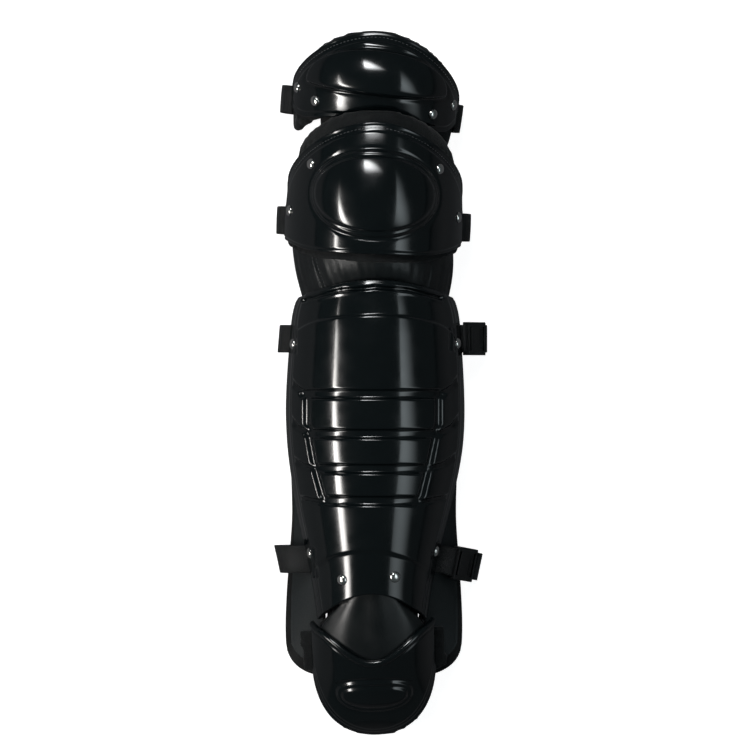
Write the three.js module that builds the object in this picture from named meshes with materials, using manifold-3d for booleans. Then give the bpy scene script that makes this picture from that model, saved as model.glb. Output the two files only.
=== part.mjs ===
// A catcher's leg guard: four moulded shells over padding, laced to each other by leather and webbing.
// It lies on its back. +X is the viewer's right, +Y runs from the foot to the thigh, +Z is the front.
// Millimetres. The floor is at z = 0.
import * as THREE from "three";
import { mergeVertices } from "three/addons/utils/BufferGeometryUtils.js";
import Module from "manifold-3d";

const wasm = await Module();
wasm.setup();

// Walls, clearances and fittings
const GAP = 0.3;
const SHELL_WALL = 3;
const FACET_ROOM = 0.9;
const PAD_THICK = 10;
const FOOT_PAD_THICK = 7;
const LEATHER = 2.4;
const PANEL_THICK = 4;
const WEB_WIDTH = 24;
const WEB_THICK = 2;
const SOLE = WEB_THICK + 2 * GAP;
const RIVET_RADIUS = 4.6;
const RIVET_RISE = 2.4;
const BUCKLE_LENGTH = 36;
const BUCKLE_WIDTH = 30;
const BUCKLE_THICK = 7;
const BUCKLE_WALL = 2;
const BUCKLE_BAR = 4;
const BUCKLE_PLUG = 14;

// How the pieces follow each other down the leg
const LINK_SHOW = 14.5;
const LINK_TUCK = 13;
const THIGH_TUCK = 16;
const ANKLE_SHOW = 7;
const TONGUE_TUCK = 9;
const FOOT_HEIGHT = 39;

// The shells' widths. The thigh's shell is narrower than the two below it.
const LEG_WIDTH = 160;
const THIGH_NARROWER = 10;

// Forms: length along Y, width across X, crest and edge are heights over the floor.
// wrap is the angle to each side that the shell bends through, drop and lift shape its two rims.
// Each section row gives shares: at of the length from the top, wide of the half width,
// high of the crest height, edge of the edge height, aside of the sideways lean.
const thigh = {
  length: 83,
  width: LEG_WIDTH - THIGH_NARROWER,
  crest: 110,
  edge: 42,
  wrap: 72,
  lean: 0,
  drop: 50,
  roundness: 1.8,
  lift: 5,
  corner: 12,
  padRise: 7,
  padHem: 2,
  padRoundness: 2,
  padTails: 10,
  turn: -6.5,
  aside: 1.5,
  sections: [
    { at: -0.1, wide: 0.93, high: 0.88, edge: 1.1, aside: 0 },
    { at: 0.2, wide: 0.97, high: 0.97, edge: 1.02, aside: 0 },
    { at: 0.5, wide: 1, high: 1, edge: 1, aside: 0 },
    { at: 0.8, wide: 1, high: 0.93, edge: 0.98, aside: 0 },
    { at: 1.1, wide: 0.98, high: 0.81, edge: 0.95, aside: 0 },
  ],
};

const knee = {
  length: 117,
  width: LEG_WIDTH,
  crest: 126,
  edge: 45,
  wrap: 72,
  lean: 0,
  drop: 50,
  roundness: 1.75,
  lift: -11,
  padRise: 14,
  padHem: 9.5,
  padRoundness: 2.3,
  turn: -2.3,
  aside: -0.5,
  sections: [
    { at: -0.1, wide: 0.95, high: 0.935, edge: 1.08, aside: 0 },
    { at: 0.2, wide: 0.96, high: 0.985, edge: 1.03, aside: 0 },
    { at: 0.5, wide: 0.985, high: 1, edge: 1, aside: 0 },
    { at: 0.75, wide: 1, high: 1, edge: 1, aside: 0 },
    { at: 1.1, wide: 0.98, high: 0.975, edge: 1.05, aside: 0 },
  ],
};

const shin = {
  length: 304,
  width: LEG_WIDTH,
  crest: 114,
  edge: 40,
  wrap: 72,
  lean: -3,
  drop: 15,
  roundness: 0,
  lift: -24,
  padRise: -LINK_TUCK - 2 * GAP,
  padHem: -TONGUE_TUCK - 2 * GAP,
  turn: 0,
  aside: 0,
  sections: [
    { at: 0, wide: 0.8, high: 0.965, edge: 1.25, aside: 0 },
    { at: 0.083, wide: 0.918, high: 0.985, edge: 1.12, aside: 0 },
    { at: 0.16, wide: 0.956, high: 1, edge: 1.05, aside: 0 },
    { at: 0.35, wide: 1, high: 1, edge: 1, aside: 0.1 },
    { at: 0.473, wide: 0.988, high: 0.99, edge: 1, aside: 0.1 },
    { at: 0.574, wide: 0.936, high: 0.97, edge: 1.02, aside: 0.3 },
    { at: 0.7, wide: 0.835, high: 0.93, edge: 1.06, aside: 0.7 },
    { at: 0.87, wide: 0.689, high: 0.86, edge: 1.15, aside: 0.9 },
    { at: 1, wide: 0.612, high: 0.8, edge: 1.25, aside: 1 },
  ],
};

// The foot guard's own heights are over its sloping base plane, which the slope tips towards the toes.
const foot = {
  length: 107,
  width: 112,
  crest: 27,
  edge: -12,
  wrap: 74,
  lean: 0,
  drop: 0,
  dip: 21,
  roundness: 2,
  lift: 63,
  padRise: -TONGUE_TUCK - 2 * GAP,
  padHem: 9,
  padSpread: 0.3,
  flare: 32,
  fold: 3,
  turn: 2,
  slope: 28,
  aside: -1,
  sections: [
    { at: -0.1, wide: 0.98, high: 1.02, edge: 1.1, aside: 0 },
    { at: 0.2, wide: 1, high: 1, edge: 1, aside: 0 },
    { at: 0.5, wide: 1, high: 0.85, edge: 0.7, aside: 0 },
    { at: 0.8, wide: 1, high: 0.6, edge: 0.3, aside: 0 },
    { at: 1.1, wide: 1, high: 0.2, edge: 0, aside: 0 },
  ],
};

// Domes of the shells. at, above and below are shares of the shell's length, wide of its half width;
// squareness rounds the corners.
const DOME_RISE = 9;
const kneeDome = { at: 0.545, above: 0.337, below: 0.337, wide: 0.7, squareness: 2.1 };
const thighDome = { at: 0.572, above: 0.382, below: 0.09, wide: 0.82, squareness: 2.2 };
const footDome = { at: 0.551, above: 0.166, below: 0.166, wide: 0.6, squareness: 2.3 };
const FOOT_DOME_RISE = 4;
// The shin's fields: from and to are shares of its length, upper and lower their half widths as shares
// of the shell's half width there, folds how many extra rows bend each field along the leg.
const FIELD_RISE = 3;
const FIELD_BEVEL = 3;
const shinFields = [
  { from: 0.1, to: 0.32, upper: 0.87, lower: 0.86, folds: 2 },
  { from: 0.35, to: 0.435, upper: 0.68, lower: 0.68, folds: 0 },
  { from: 0.467, to: 0.537, upper: 0.655, lower: 0.63, folds: 0 },
  { from: 0.569, to: 0.633, upper: 0.6, lower: 0.55, folds: 0 },
  { from: 0.663, to: 0.815, upper: 0.88, lower: 0.86, folds: 1 },
];
const SLOT = { at: 0.021, height: 3.2, reach: 0.86 };

// Rivets. Shares: at of the length from the top, out of the half width, right side positive.
const rivetRows = [
  { name: "thigh_rivet_left_outer", on: thigh, at: 0.67, out: -0.93 },
  { name: "thigh_rivet_left_inner", on: thigh, at: 0.8, out: -0.7 },
  { name: "thigh_rivet_right_inner", on: thigh, at: 0.8, out: 0.7 },
  { name: "thigh_rivet_right_outer", on: thigh, at: 0.67, out: 0.93 },
  { name: "knee_rivet_left_upper", on: knee, at: 0.33, out: -0.74 },
  { name: "knee_rivet_right_upper", on: knee, at: 0.33, out: 0.73 },
  { name: "knee_rivet_left_side", on: knee, at: 0.69, out: -0.94 },
  { name: "knee_rivet_right_side", on: knee, at: 0.69, out: 0.94 },
  { name: "shin_rivet_left_upper", on: shin, at: 0.186, out: -0.957 },
  { name: "shin_rivet_right_upper", on: shin, at: 0.184, out: 0.945 },
  { name: "shin_rivet_left_lower", on: shin, at: 0.806, out: -0.945 },
  { name: "shin_rivet_right_lower", on: shin, at: 0.8, out: 0.945 },
  { name: "shin_rivet_left_front", on: shin, at: 0.881, out: -0.48 },
  { name: "shin_rivet_right_front", on: shin, at: 0.872, out: 0.35 },
];

// Straps. at is the share down the shell. left and right are how far the loops stand out beyond the
// shell's sides. A buckled strap's right side runs near, then the buckle, then curl outwards.
// slant is how far the right end turns down the leg, in degrees.
const straps = [
  { name: "thigh_strap", on: thigh, at: 0.8, left: 9, right: 4, slant: 0 },
  { name: "knee_strap", on: knee, at: 0.76, left: 7, right: 7, slant: 0 },
  {
    name: "shin_strap",
    buckle: "shin_buckle",
    on: shin,
    at: 0.17,
    left: 10,
    near: 5,
    span: 16,
    curl: 2,
    slant: 0,
  },
  {
    name: "ankle_strap",
    buckle: "ankle_buckle",
    on: shin,
    at: 0.825,
    left: 30,
    near: 13,
    span: 18,
    curl: 6,
    slant: 12,
  },
];

// Webbing between the thigh and the knee: out is the share of the half width at its middle.
const webLinks = [
  { name: "link_strap_left", out: -0.62 },
  { name: "link_strap_right", out: 0.64 },
];

// The soft wings beside the ankle. Rows run from the wing's top to its foot: out is a share of the
// reach from the leg's axis, low of the rim height.
const WING_LENGTH = 184;
const WING_AT = 0.56;
const WING_REACH = 81;
const WING_RIM = 9;
const WING_CORNER = 27;
const wingRows = [
  { at: 0, out: 0.935, low: 1.9 },
  { at: 0.22, out: 0.925, low: 1.3 },
  { at: 0.4, out: 0.95, low: 1 },
  { at: 0.6, out: 0.985, low: 0.9 },
  { at: 0.8, out: 1, low: 0.9 },
  { at: 1, out: 0.97, low: 0.9 },
];
const wings = [
  { name: "wing_left", side: -1, reach: 1 },
  { name: "wing_right", side: 1, reach: 0.965 },
];

const gloss = new THREE.MeshStandardMaterial({ color: 0x0a0d0e, roughness: 0.12, metalness: 0 });
const mesh = new THREE.MeshStandardMaterial({ color: 0x111112, roughness: 0.85, metalness: 0 });
const hide = new THREE.MeshStandardMaterial({ color: 0x141414, roughness: 0.55, metalness: 0 });
const coated = new THREE.MeshStandardMaterial({ color: 0x1c1e20, roughness: 0.6, metalness: 0 });
const webbing = new THREE.MeshStandardMaterial({ color: 0x0e0e0f, roughness: 0.75, metalness: 0 });
const moulded = new THREE.MeshStandardMaterial({ color: 0x0c0c0d, roughness: 0.4, metalness: 0 });
const nickel = new THREE.MeshStandardMaterial({ color: 0xc9cacb, roughness: 0.2, metalness: 1 });

const radians = THREE.MathUtils.degToRad;
const mix = THREE.MathUtils.lerp;

// A section column at a share of the length, eased from row to row.
function column(rows, name, share) {
  const last = rows.length - 1;
  if (share <= rows[0].at) return rows[0][name];
  if (share >= rows[last].at) return rows[last][name];
  const i = rows.findIndex((row) => row.at > share) - 1;
  const [before, from, to, after] = [-1, 0, 1, 2].map((k) => rows[Math.min(last, Math.max(0, i + k))]);
  const span = to.at - from.at;
  const slope = (a, b) => (a === b ? 0 : ((b[name] - a[name]) / (b.at - a.at)) * span);
  const t = (share - from.at) / span;
  const [m0, m1] = [slope(before, to), slope(from, after)];
  const rise = to[name] - from[name];
  return from[name] + t * (m0 + t * (3 * rise - 2 * m0 - m1 + t * (m0 + m1 - 2 * rise)));
}

// The section of a form at a height y of its own frame, whose middle is at y = 0.
function section(form, y) {
  const share = 0.5 - y / form.length;
  return {
    half: (form.width / 2) * column(form.sections, "wide", share),
    crest: form.crest * column(form.sections, "high", share),
    edge: form.edge * column(form.sections, "edge", share),
    middle: form.lean * column(form.sections, "aside", share),
  };
}

// How far out a point of the section at q lies, as a share of the half width.
function outward(form, q) {
  const turn = radians(form.wrap);
  return Math.sin(THREE.MathUtils.clamp(q, -1, 1) * turn) / Math.sin(turn);
}

// The q of a point that lies the given share of the half width out.
function across(form, out) {
  const turn = radians(form.wrap);
  return Math.asin(THREE.MathUtils.clamp(out, -1, 1) * Math.sin(turn)) / turn;
}

// A point of a form: q runs from -1 to 1 over the shell, and on to 2 straight down a pad's skirt.
function spot(form) {
  const turn = radians(form.wrap);
  return (q, y) => {
    const { half, crest, edge, middle } = section(form, y);
    const angle = THREE.MathUtils.clamp(q, -1, 1) * turn;
    const bend = (Math.cos(angle) - Math.cos(turn)) / (1 - Math.cos(turn));
    const below = Math.max(0, Math.abs(q) - 1);
    const flare = Math.sign(q) * below * (form.flare ?? 0);
    const fold = below * (form.fold ?? edge - SOLE);
    const x = middle + half * outward(form, q) + flare;
    return new THREE.Vector3(x, y, edge + (crest - edge) * bend - fold);
  };
}

// The same point, moved along the surface's outward normal.
function lifted(place, a, b, lift) {
  const step = 1e-3;
  const over = place(a + step, b).sub(place(a - step, b));
  const up = place(a, b + step).sub(place(a, b - step));
  return place(a, b).addScaledVector(over.cross(up).normalize(), lift);
}

const bow = (out, power) => 1 - Math.pow(1 - Math.pow(Math.min(1, Math.abs(out)), power), 1 / power);

// The upper and lower rim of a form at q, raised and lowered by what its pad adds.
function upperRim(form, q, rise = 0, roundness = form.roundness) {
  const out = outward(form, q);
  const fall = roundness && !form.dip ? bow(out, roundness) : out * out;
  const vee = form.dip ? form.dip * 0.5 * (1 + Math.cos(Math.PI * Math.min(1, Math.abs(out) / 0.9))) : 0;
  return form.length / 2 + rise - form.drop * fall - vee;
}

function lowerRim(form, q, hem = 0, tails = -(form.corner ?? 0)) {
  const out = outward(form, q);
  if (form.dip) return -form.length / 2 - hem + form.lift * bow(out, form.roundness);
  if (form === knee) return -form.length / 2 - hem - form.lift * Math.pow(Math.abs(out), 5);
  if (form === thigh) {
    const corner = tails * Math.pow(Math.abs(out), tails > 0 ? 4 : 14);
    return -form.length / 2 - hem + form.lift * (1 - out * out) - corner;
  }
  return -form.length / 2 - hem - form.lift * (1 - Math.pow(Math.abs(out), 1.8));
}

// A place of the shell: s runs from its upper rim to its lower one. The shin's rims bend only its end rows.
const RIM_REACH = 0.3;
function row(form, q, s) {
  if (form !== shin) return mix(upperRim(form, q), lowerRim(form, q), s);
  const straight = form.length * (0.5 - s);
  const top = (upperRim(form, q) - form.length / 2) * Math.max(0, 1 - s / RIM_REACH);
  const bottom = (lowerRim(form, q) + form.length / 2) * Math.max(0, 1 - (1 - s) / RIM_REACH);
  return straight + top + bottom;
}

// A closed wall under a surface: its front lies at the depth from, its back at the depth to.
// pick turns a row and a column into the surface's two parameters and how far the front stands out.
function wall(place, pick, rows, columns, from, to, pickBack = pick) {
  const points = [];
  for (const depth of [from, to])
    for (let i = 0; i <= rows; i++)
      for (let j = 0; j <= columns; j++) {
        const choose = depth === from ? pick : pickBack;
        const [a, b, rise = 0] = choose(i / rows, j / columns, i, j);
        points.push(lifted(place, a, b, rise - depth));
      }
  const front = (i, j) => i * (columns + 1) + j;
  const back = (i, j) => points.length / 2 + front(i, j);
  const faces = [];
  for (let i = 0; i < rows; i++)
    for (let j = 0; j < columns; j++) {
      const corners = [[i, j], [i + 1, j], [i + 1, j + 1], [i, j + 1]];
      const [a, b, c, d] = corners.map(([r, k]) => front(r, k));
      const [e, f, g, h] = corners.map(([r, k]) => back(r, k));
      faces.push(a, b, c, a, c, d, g, f, e, h, g, e);
    }
  const border = [];
  for (let i = 0; i < rows; i++) border.push([i, 0]);
  for (let j = 0; j < columns; j++) border.push([rows, j]);
  for (let i = rows; i > 0; i--) border.push([i, columns]);
  for (let j = columns; j > 0; j--) border.push([0, j]);
  border.forEach((p, k) => {
    const q = border[(k + 1) % border.length];
    faces.push(front(...q), front(...p), back(...p), front(...q), back(...p), back(...q));
  });
  return indexed(points, faces);
}

function indexed(points, faces) {
  const geometry = new THREE.BufferGeometry().setFromPoints(points);
  geometry.setIndex(faces);
  geometry.computeVertexNormals();
  return geometry;
}

function solid(geometry) {
  const bare = new THREE.BufferGeometry();
  bare.setAttribute("position", geometry.getAttribute("position"));
  if (geometry.index) bare.setIndex(geometry.index);
  const merged = mergeVertices(bare, 1e-4);
  return new wasm.Manifold(
    new wasm.Mesh({
      numProp: 3,
      vertProperties: merged.getAttribute("position").array,
      triVerts: new Uint32Array(merged.index.array),
    }),
  );
}

function surface(made) {
  const { vertProperties, triVerts } = made.getMesh();
  const geometry = new THREE.BufferGeometry();
  geometry.setAttribute("position", new THREE.BufferAttribute(new Float32Array(vertProperties), 3));
  geometry.setIndex(new THREE.BufferAttribute(new Uint32Array(triVerts), 1));
  geometry.computeVertexNormals();
  return geometry;
}

// A raised field: rings of its outline, from the middle of its underside out and back over its crown.
function boss(form, field, rise, sides) {
  const rings = [
    { share: 0.35, lift: -SHELL_WALL / 3 },
    { share: 0.7, lift: -SHELL_WALL / 3 },
    { share: 1, lift: -SHELL_WALL / 3 },
    { share: 0.96, lift: rise * 0.5 },
    { share: 0.86, lift: rise * 0.85 },
    { share: 0.6, lift: rise * 0.98 },
    { share: 0.3, lift: rise },
  ];
  const middle = form.length * (0.5 - field.at);
  const wide = (form.width / 2) * field.wide;
  const round = (value) => Math.sign(value) * Math.pow(Math.abs(value), 2 / field.squareness);
  const at = (turn, share, lift) => {
    const up = round(Math.sin(turn)) * share;
    const y = middle + form.length * up * (up < 0 ? field.below : field.above);
    const x = wide * round(Math.cos(turn)) * share;
    const { half } = section(form, y);
    return lifted(spot(form), across(form, x / half), y, lift);
  };
  const points = [at(0, 0, rings[0].lift)];
  for (const { share, lift } of rings)
    for (let k = 0; k < sides; k++) points.push(at((2 * Math.PI * k) / sides, share, lift));
  points.push(at(0, 0, rise));
  const faces = [];
  for (let k = 0; k < sides; k++) {
    const next = (k + 1) % sides;
    faces.push(0, 1 + next, 1 + k);
    for (let r = 0; r + 1 < rings.length; r++) {
      const [a, b] = [1 + r * sides + k, 1 + r * sides + next];
      faces.push(a, b, b + sides, a, b + sides, a + sides);
    }
    const crown = 1 + (rings.length - 1) * sides;
    faces.push(crown + k, crown + next, points.length - 1);
  }
  return solid(indexed(points, faces));
}

const guard = new THREE.Group();

function piece(parent, name, geometry, material) {
  const made = new THREE.Mesh(geometry, material);
  made.name = name;
  parent.add(made);
  return made;
}

// Each form has a group of its own, placed from its neighbour down the leg.
const frames = new Map();
function frame(form, y, z = 0) {
  const group = new THREE.Group();
  group.position.set(form.aside, y, z);
  group.rotation.set(radians(form.slope ?? 0), 0, radians(form.turn));
  group.updateMatrix();
  guard.add(group);
  frames.set(form, group);
  return group;
}

const kneeY = (shin.length + knee.length) / 2 + LINK_SHOW + knee.padHem;
const thighY = kneeY + (knee.length + thigh.length) / 2 + knee.padRise - THIGH_TUCK;
const footY = -shin.length / 2 - ANKLE_SHOW - (foot.length / 2) * Math.cos(radians(foot.slope));
frame(shin, 0);
frame(knee, kneeY);
frame(thigh, thighY);
frame(foot, footY, FOOT_HEIGHT);

// Shells
const shellPick = (form) => (s, t) => {
  const q = 2 * t - 1;
  return [q, row(form, q, s)];
};

function shell(form, rows, columns, field, rise) {
  const base = solid(wall(spot(form), shellPick(form), rows, columns, 0, SHELL_WALL));
  return surface(base.add(boss(form, field, rise, 24)));
}

// The shin's rows: each field rises from one row to the next, and its sides from one column to the next.
const shinRows = [{ s: 0, wide: shinFields[0].upper, rise: 0 }];
for (const { from, to, upper, lower, folds } of shinFields) {
  const bevel = FIELD_BEVEL / shin.length;
  shinRows.push({ s: from, wide: upper, rise: 0 });
  for (let k = 0; k <= folds + 1; k++) {
    const share = k / (folds + 1);
    shinRows.push({ s: mix(from + bevel, to - bevel, share), wide: mix(upper, lower, share), rise: 1 });
  }
  shinRows.push({ s: to, wide: lower, rise: 0 });
}
shinRows.push({ s: 1, wide: shinRows.at(-1).wide, rise: 0 });
const FIELD_COLUMNS = 10;
const SIDE_COLUMNS = 4;
const shinColumns = FIELD_COLUMNS + 2 * SIDE_COLUMNS;
function shinPick(_s, _t, i, j) {
  const { s, wide, rise } = shinRows[i];
  const side = (k) => {
    const edge = across(shin, wide);
    const foot = across(shin, wide + (2 * FIELD_BEVEL) / shin.width);
    return k === SIDE_COLUMNS ? edge : mix(1, foot, k / (SIDE_COLUMNS - 1));
  };
  const inField = j >= SIDE_COLUMNS && j <= shinColumns - SIDE_COLUMNS;
  let q = side(SIDE_COLUMNS) * ((2 * (j - SIDE_COLUMNS)) / FIELD_COLUMNS - 1);
  if (j < SIDE_COLUMNS) q = -side(j);
  if (j > shinColumns - SIDE_COLUMNS) q = side(shinColumns - j);
  return [q, row(shin, q, s), inField ? rise * FIELD_RISE : 0];
}
const shinBack = (_s, t, i) => [2 * t - 1, row(shin, 2 * t - 1, shinRows[i].s)];
const shinShell = wall(spot(shin), shinPick, shinRows.length - 1, shinColumns, 0, SHELL_WALL, shinBack);

const slotCut = solid(
  wall(
    spot(shin),
    (s, t) => {
      const q = (2 * t - 1) * across(shin, SLOT.reach);
      return [q, upperRim(shin, q) - shin.length * SLOT.at - (s - 0.5) * SLOT.height];
    },
    1,
    12,
    -SHELL_WALL,
    2 * SHELL_WALL,
  ),
);
const thighShell = shell(thigh, 7, 14, thighDome, DOME_RISE);
const kneeShell = shell(knee, 8, 14, kneeDome, DOME_RISE);
const footShell = shell(foot, 7, 14, footDome, FOOT_DOME_RISE);
piece(frames.get(thigh), "thigh_shell", thighShell, gloss);
piece(frames.get(knee), "knee_shell", kneeShell, gloss);
piece(frames.get(shin), "shin_shell", surface(solid(shinShell).subtract(slotCut)), gloss);
piece(frames.get(foot), "foot_shell", footShell, gloss);

// Pads. A skirt carries each pad from the shell's side down to the floor, as far down the leg as skirt says.
const PAD_DEPTH = SHELL_WALL + GAP + FACET_ROOM;
const PAD_COLUMNS = 14;
function padAcross(j, sides) {
  const inner = THREE.MathUtils.clamp(j - sides, 0, PAD_COLUMNS);
  return { q: (2 * inner) / PAD_COLUMNS - 1, out: (j - sides - inner) / sides };
}

function pad(form, rows, sides, thick, skirt) {
  const pick = (s, _t, _i, j) => {
    const { q, out } = padAcross(j, sides);
    const top = upperRim(form, q, form.padRise, form.padRoundness);
    return [q + out * skirt, mix(top, lowerRim(form, q, form.padHem, form.padTails), s)];
  };
  return wall(spot(form), pick, rows, PAD_COLUMNS + 2 * sides, PAD_DEPTH, PAD_DEPTH + thick);
}

piece(frames.get(thigh), "thigh_pad", pad(thigh, 5, 2, PAD_THICK, 1), mesh);
piece(frames.get(knee), "knee_pad", pad(knee, 6, 2, PAD_THICK, 1), mesh);

// The shin's pad has its skirt only above the wings, and ends just inside the shell beside them.
const SKIRT_LEAST = 0.02;
const PAD_SHY = 0.1;
const wingTop = shin.length * (0.5 - WING_AT);
const shinPadPick = (s, _t, _i, j) => {
  const { q, out } = padAcross(j, 1);
  const [top, bottom] = [-shin.padRise / shin.length, 1 + shin.padHem / shin.length];
  const share = mix(top, bottom, s);
  const skirt = THREE.MathUtils.smoothstep(row(shin, q, share), wingTop, wingTop + 2 * WEB_WIDTH);
  const inside = q * (1 - PAD_SHY * (1 - skirt));
  return [inside + out * Math.max(skirt, SKIRT_LEAST), row(shin, inside, share)];
};
const shinPad = wall(spot(shin), shinPadPick, 11, PAD_COLUMNS + 2, PAD_DEPTH, PAD_DEPTH + PAD_THICK);
piece(frames.get(shin), "shin_pad", shinPad, mesh);

// The foot's pad is wider than its shell all round.
piece(frames.get(foot), "foot_pad", pad(foot, 6, 1, FOOT_PAD_THICK, foot.padSpread), mesh);

// A sheet that runs from one piece to the next through stations. Each is a curve over u from -1 to 1.
function bridge(stations, columns, thick) {
  const spans = stations.length - 1;
  const place = (u, v) => {
    const down = THREE.MathUtils.clamp(spans * (1 - v), 0, spans);
    const k = Math.min(spans - 1, Math.floor(down));
    return stations[k](u).lerp(stations[k + 1](u), spans * (1 - v) - k);
  };
  return wall(place, (s, t) => [2 * t - 1, 1 - s], spans, columns, 0, thick);
}

// A point under a form at the share s down it, moved on by some millimetres and sunk to a depth.
function under(form, q, s, on, depth) {
  const y = row(form, q, s + on / form.length);
  return lifted(spot(form), q, y, -depth).applyMatrix4(frames.get(form).matrix);
}

const behindPad = PAD_DEPTH + PAD_THICK + GAP + FACET_ROOM;
const LINK_REACH = 0.97;
const linkStations = [
  (u) => {
    const start = lowerRim(knee, u, knee.padHem) - GAP - 1.5 * FACET_ROOM;
    return lifted(spot(knee), u, start, -PAD_DEPTH).applyMatrix4(frames.get(knee).matrix);
  },
  (u) => under(shin, u * LINK_REACH, 0, 0, PAD_DEPTH),
  (u) => under(shin, u * LINK_REACH, 0, LINK_TUCK, PAD_DEPTH),
];
piece(guard, "link_panel", bridge(linkStations, 14, LEATHER), hide);

for (const { name, out } of webLinks) {
  const q = (form, u) => across(form, out + (u * WEB_WIDTH) / form.width);
  const webStations = [
    (u) => under(thigh, q(thigh, u), 1, -WEB_WIDTH, behindPad),
    (u) => under(thigh, q(thigh, u), 1, thigh.padHem + 0.6 * thigh.padTails, behindPad),
    (u) => under(knee, q(knee, u), 0, WEB_WIDTH / 2, behindPad),
  ];
  piece(guard, name, bridge(webStations, 2, WEB_THICK), webbing);
}

// The leather tongue over the ankle runs from under the shin's lower rim to under the foot's upper rim.
const TONGUE_TOP = 0.45;
const TONGUE_FOOT = 0.8;
const tongueStations = [
  (u) => under(shin, u * TONGUE_TOP, 1, -TONGUE_TUCK, PAD_DEPTH),
  (u) => under(shin, u * TONGUE_TOP, 1, 0, PAD_DEPTH),
  (u) => under(foot, u * TONGUE_FOOT, 0, 0, PAD_DEPTH),
  (u) => under(foot, u * TONGUE_FOOT, 0, TONGUE_TUCK, PAD_DEPTH),
];
piece(guard, "ankle_tongue", bridge(tongueStations, 10, LEATHER), hide);

// Behind the tongue a wider gusset of mesh cloth closes the ankle.
const GUSSET_THICK = 1.8;
const GUSSET_TOP = 0.86;
const GUSSET_FOOT = 0.96;
const behindTongue = PAD_DEPTH + LEATHER + GAP + FACET_ROOM;
const gussetStations = [
  (u) => under(shin, u * GUSSET_TOP, 1, -TONGUE_TUCK, behindTongue),
  (u) => under(shin, u * GUSSET_TOP, 1, 0, behindTongue),
  (u) => under(foot, u * GUSSET_FOOT, 0, 0, behindTongue),
  (u) => under(foot, u * GUSSET_FOOT, 0, TONGUE_TUCK, behindTongue),
];
piece(guard, "ankle_gusset", bridge(gussetStations, 12, GUSSET_THICK), mesh);

// Wings. Across a wing, out runs from 0 at the shell's side to 1 at its outer rim, negative on the left.
const WING_BELLY = 5;
const WING_INSET = 1.5;
const WING_FOOT = { from: 0.55, high: 0.35 };
function wing({ side, reach }) {
  const place = (out, y) => {
    const v = side * out;
    const share = (wingTop - y) / WING_LENGTH;
    const { half, edge, middle } = section(shin, y);
    const inner = middle * side + half - SHELL_WALL - WING_INSET;
    const outer = Math.max(WING_REACH * reach * column(wingRows, "out", share), inner + SHELL_WALL);
    const foot = THREE.MathUtils.smoothstep(share, WING_FOOT.from, 1);
    const high = mix(edge - 2 * GAP, edge * WING_FOOT.high, foot);
    const low = WING_RIM * column(wingRows, "low", share);
    const belly = WING_BELLY * Math.sin(Math.PI * v) * share;
    return new THREE.Vector3(side * mix(inner, outer, v), y, mix(high, low, v) + belly);
  };
  const pick = (s, t) => {
    const out = side > 0 ? t : t - 1;
    const bottom = wingTop - WING_LENGTH + WING_CORNER * bow(out, 2.2);
    return [out, mix(wingTop, bottom, s)];
  };
  return wall(place, pick, 9, 5, 0, PANEL_THICK);
}
for (const one of wings) piece(frames.get(shin), one.name, wing(one), coated);

// Rivets
const rivetProfile = [0, 30, 60, 90].map((degrees) => {
  const turn = radians(degrees);
  return new THREE.Vector2(RIVET_RADIUS * Math.cos(turn), RIVET_RISE * Math.sin(turn));
});
rivetProfile.unshift(new THREE.Vector2(0, 0));
rivetProfile[rivetProfile.length - 1].x = 0;
const rivetHead = new THREE.LatheGeometry(rivetProfile, 10).rotateX(Math.PI / 2);
for (const { name, on, at, out } of rivetRows) {
  const [q, y] = [across(on, out), on.length * (0.5 - at)];
  const base = lifted(spot(on), q, y, GAP);
  const facing = lifted(spot(on), q, y, 1 + GAP).sub(base);
  const head = piece(frames.get(on), name, rivetHead, nickel);
  head.position.copy(base);
  head.quaternion.setFromUnitVectors(new THREE.Vector3(0, 0, 1), facing);
}

// Straps. Each is a ribbon whose path, in the section of every row, runs from under the left side of the
// shell, out, down and over the floor, and up to the right side or to its buckle.
const FLOOR = WEB_THICK / 2;
const TURN = 11;
const SEAT_DROP = 2;

function ribbon(path, strap, divisions) {
  const { on, at, slant } = strap;
  const middleY = on.length * (0.5 - at);
  const pivot = section(on, middleY).half;
  const swing = (point, y) => {
    const side = Math.sign(point.x);
    const share = THREE.MathUtils.smoothstep(Math.abs(point.x), pivot, pivot + TURN);
    const turn = side > 0 ? -radians(slant) * share : 0;
    const [x, up] = [point.x - side * pivot, y - middleY];
    return new THREE.Vector3(
      side * pivot + x * Math.cos(turn) - up * Math.sin(turn),
      middleY + x * Math.sin(turn) + up * Math.cos(turn),
      point.y,
    );
  };
  const rows = [WEB_WIDTH / 2, -WEB_WIDTH / 2].map((up) => {
    const y = middleY + up;
    const points = path(y).getPoints(divisions);
    return { y, points };
  });
  const points = [];
  for (const side of [1, -1])
    for (const { y, points: line } of rows)
      line.forEach((point, k) => {
        const before = line[Math.max(0, k - 1)];
        const after = line[Math.min(line.length - 1, k + 1)];
        const along = after.clone().sub(before).normalize();
        const off = new THREE.Vector2(along.y, -along.x).multiplyScalar((side * WEB_THICK) / 2);
        points.push(swing(point.clone().add(off), y));
      });
  const count = rows[0].points.length;
  const faces = [];
  const quad = (a, b, c, d) => faces.push(a, b, c, a, c, d);
  for (let k = 0; k + 1 < count; k++) {
    const [a, b, c, d] = [k, count + k, 2 * count + k, 3 * count + k];
    quad(a + 1, b + 1, b, a);
    quad(c, d, d + 1, c + 1);
    quad(a, c, c + 1, a + 1);
    quad(b + 1, d + 1, d, b);
  }
  const last = count - 1;
  quad(count, 3 * count, 2 * count, 0);
  quad(last, 2 * count + last, 3 * count + last, count + last);
  return indexed(points, faces);
}

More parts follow.
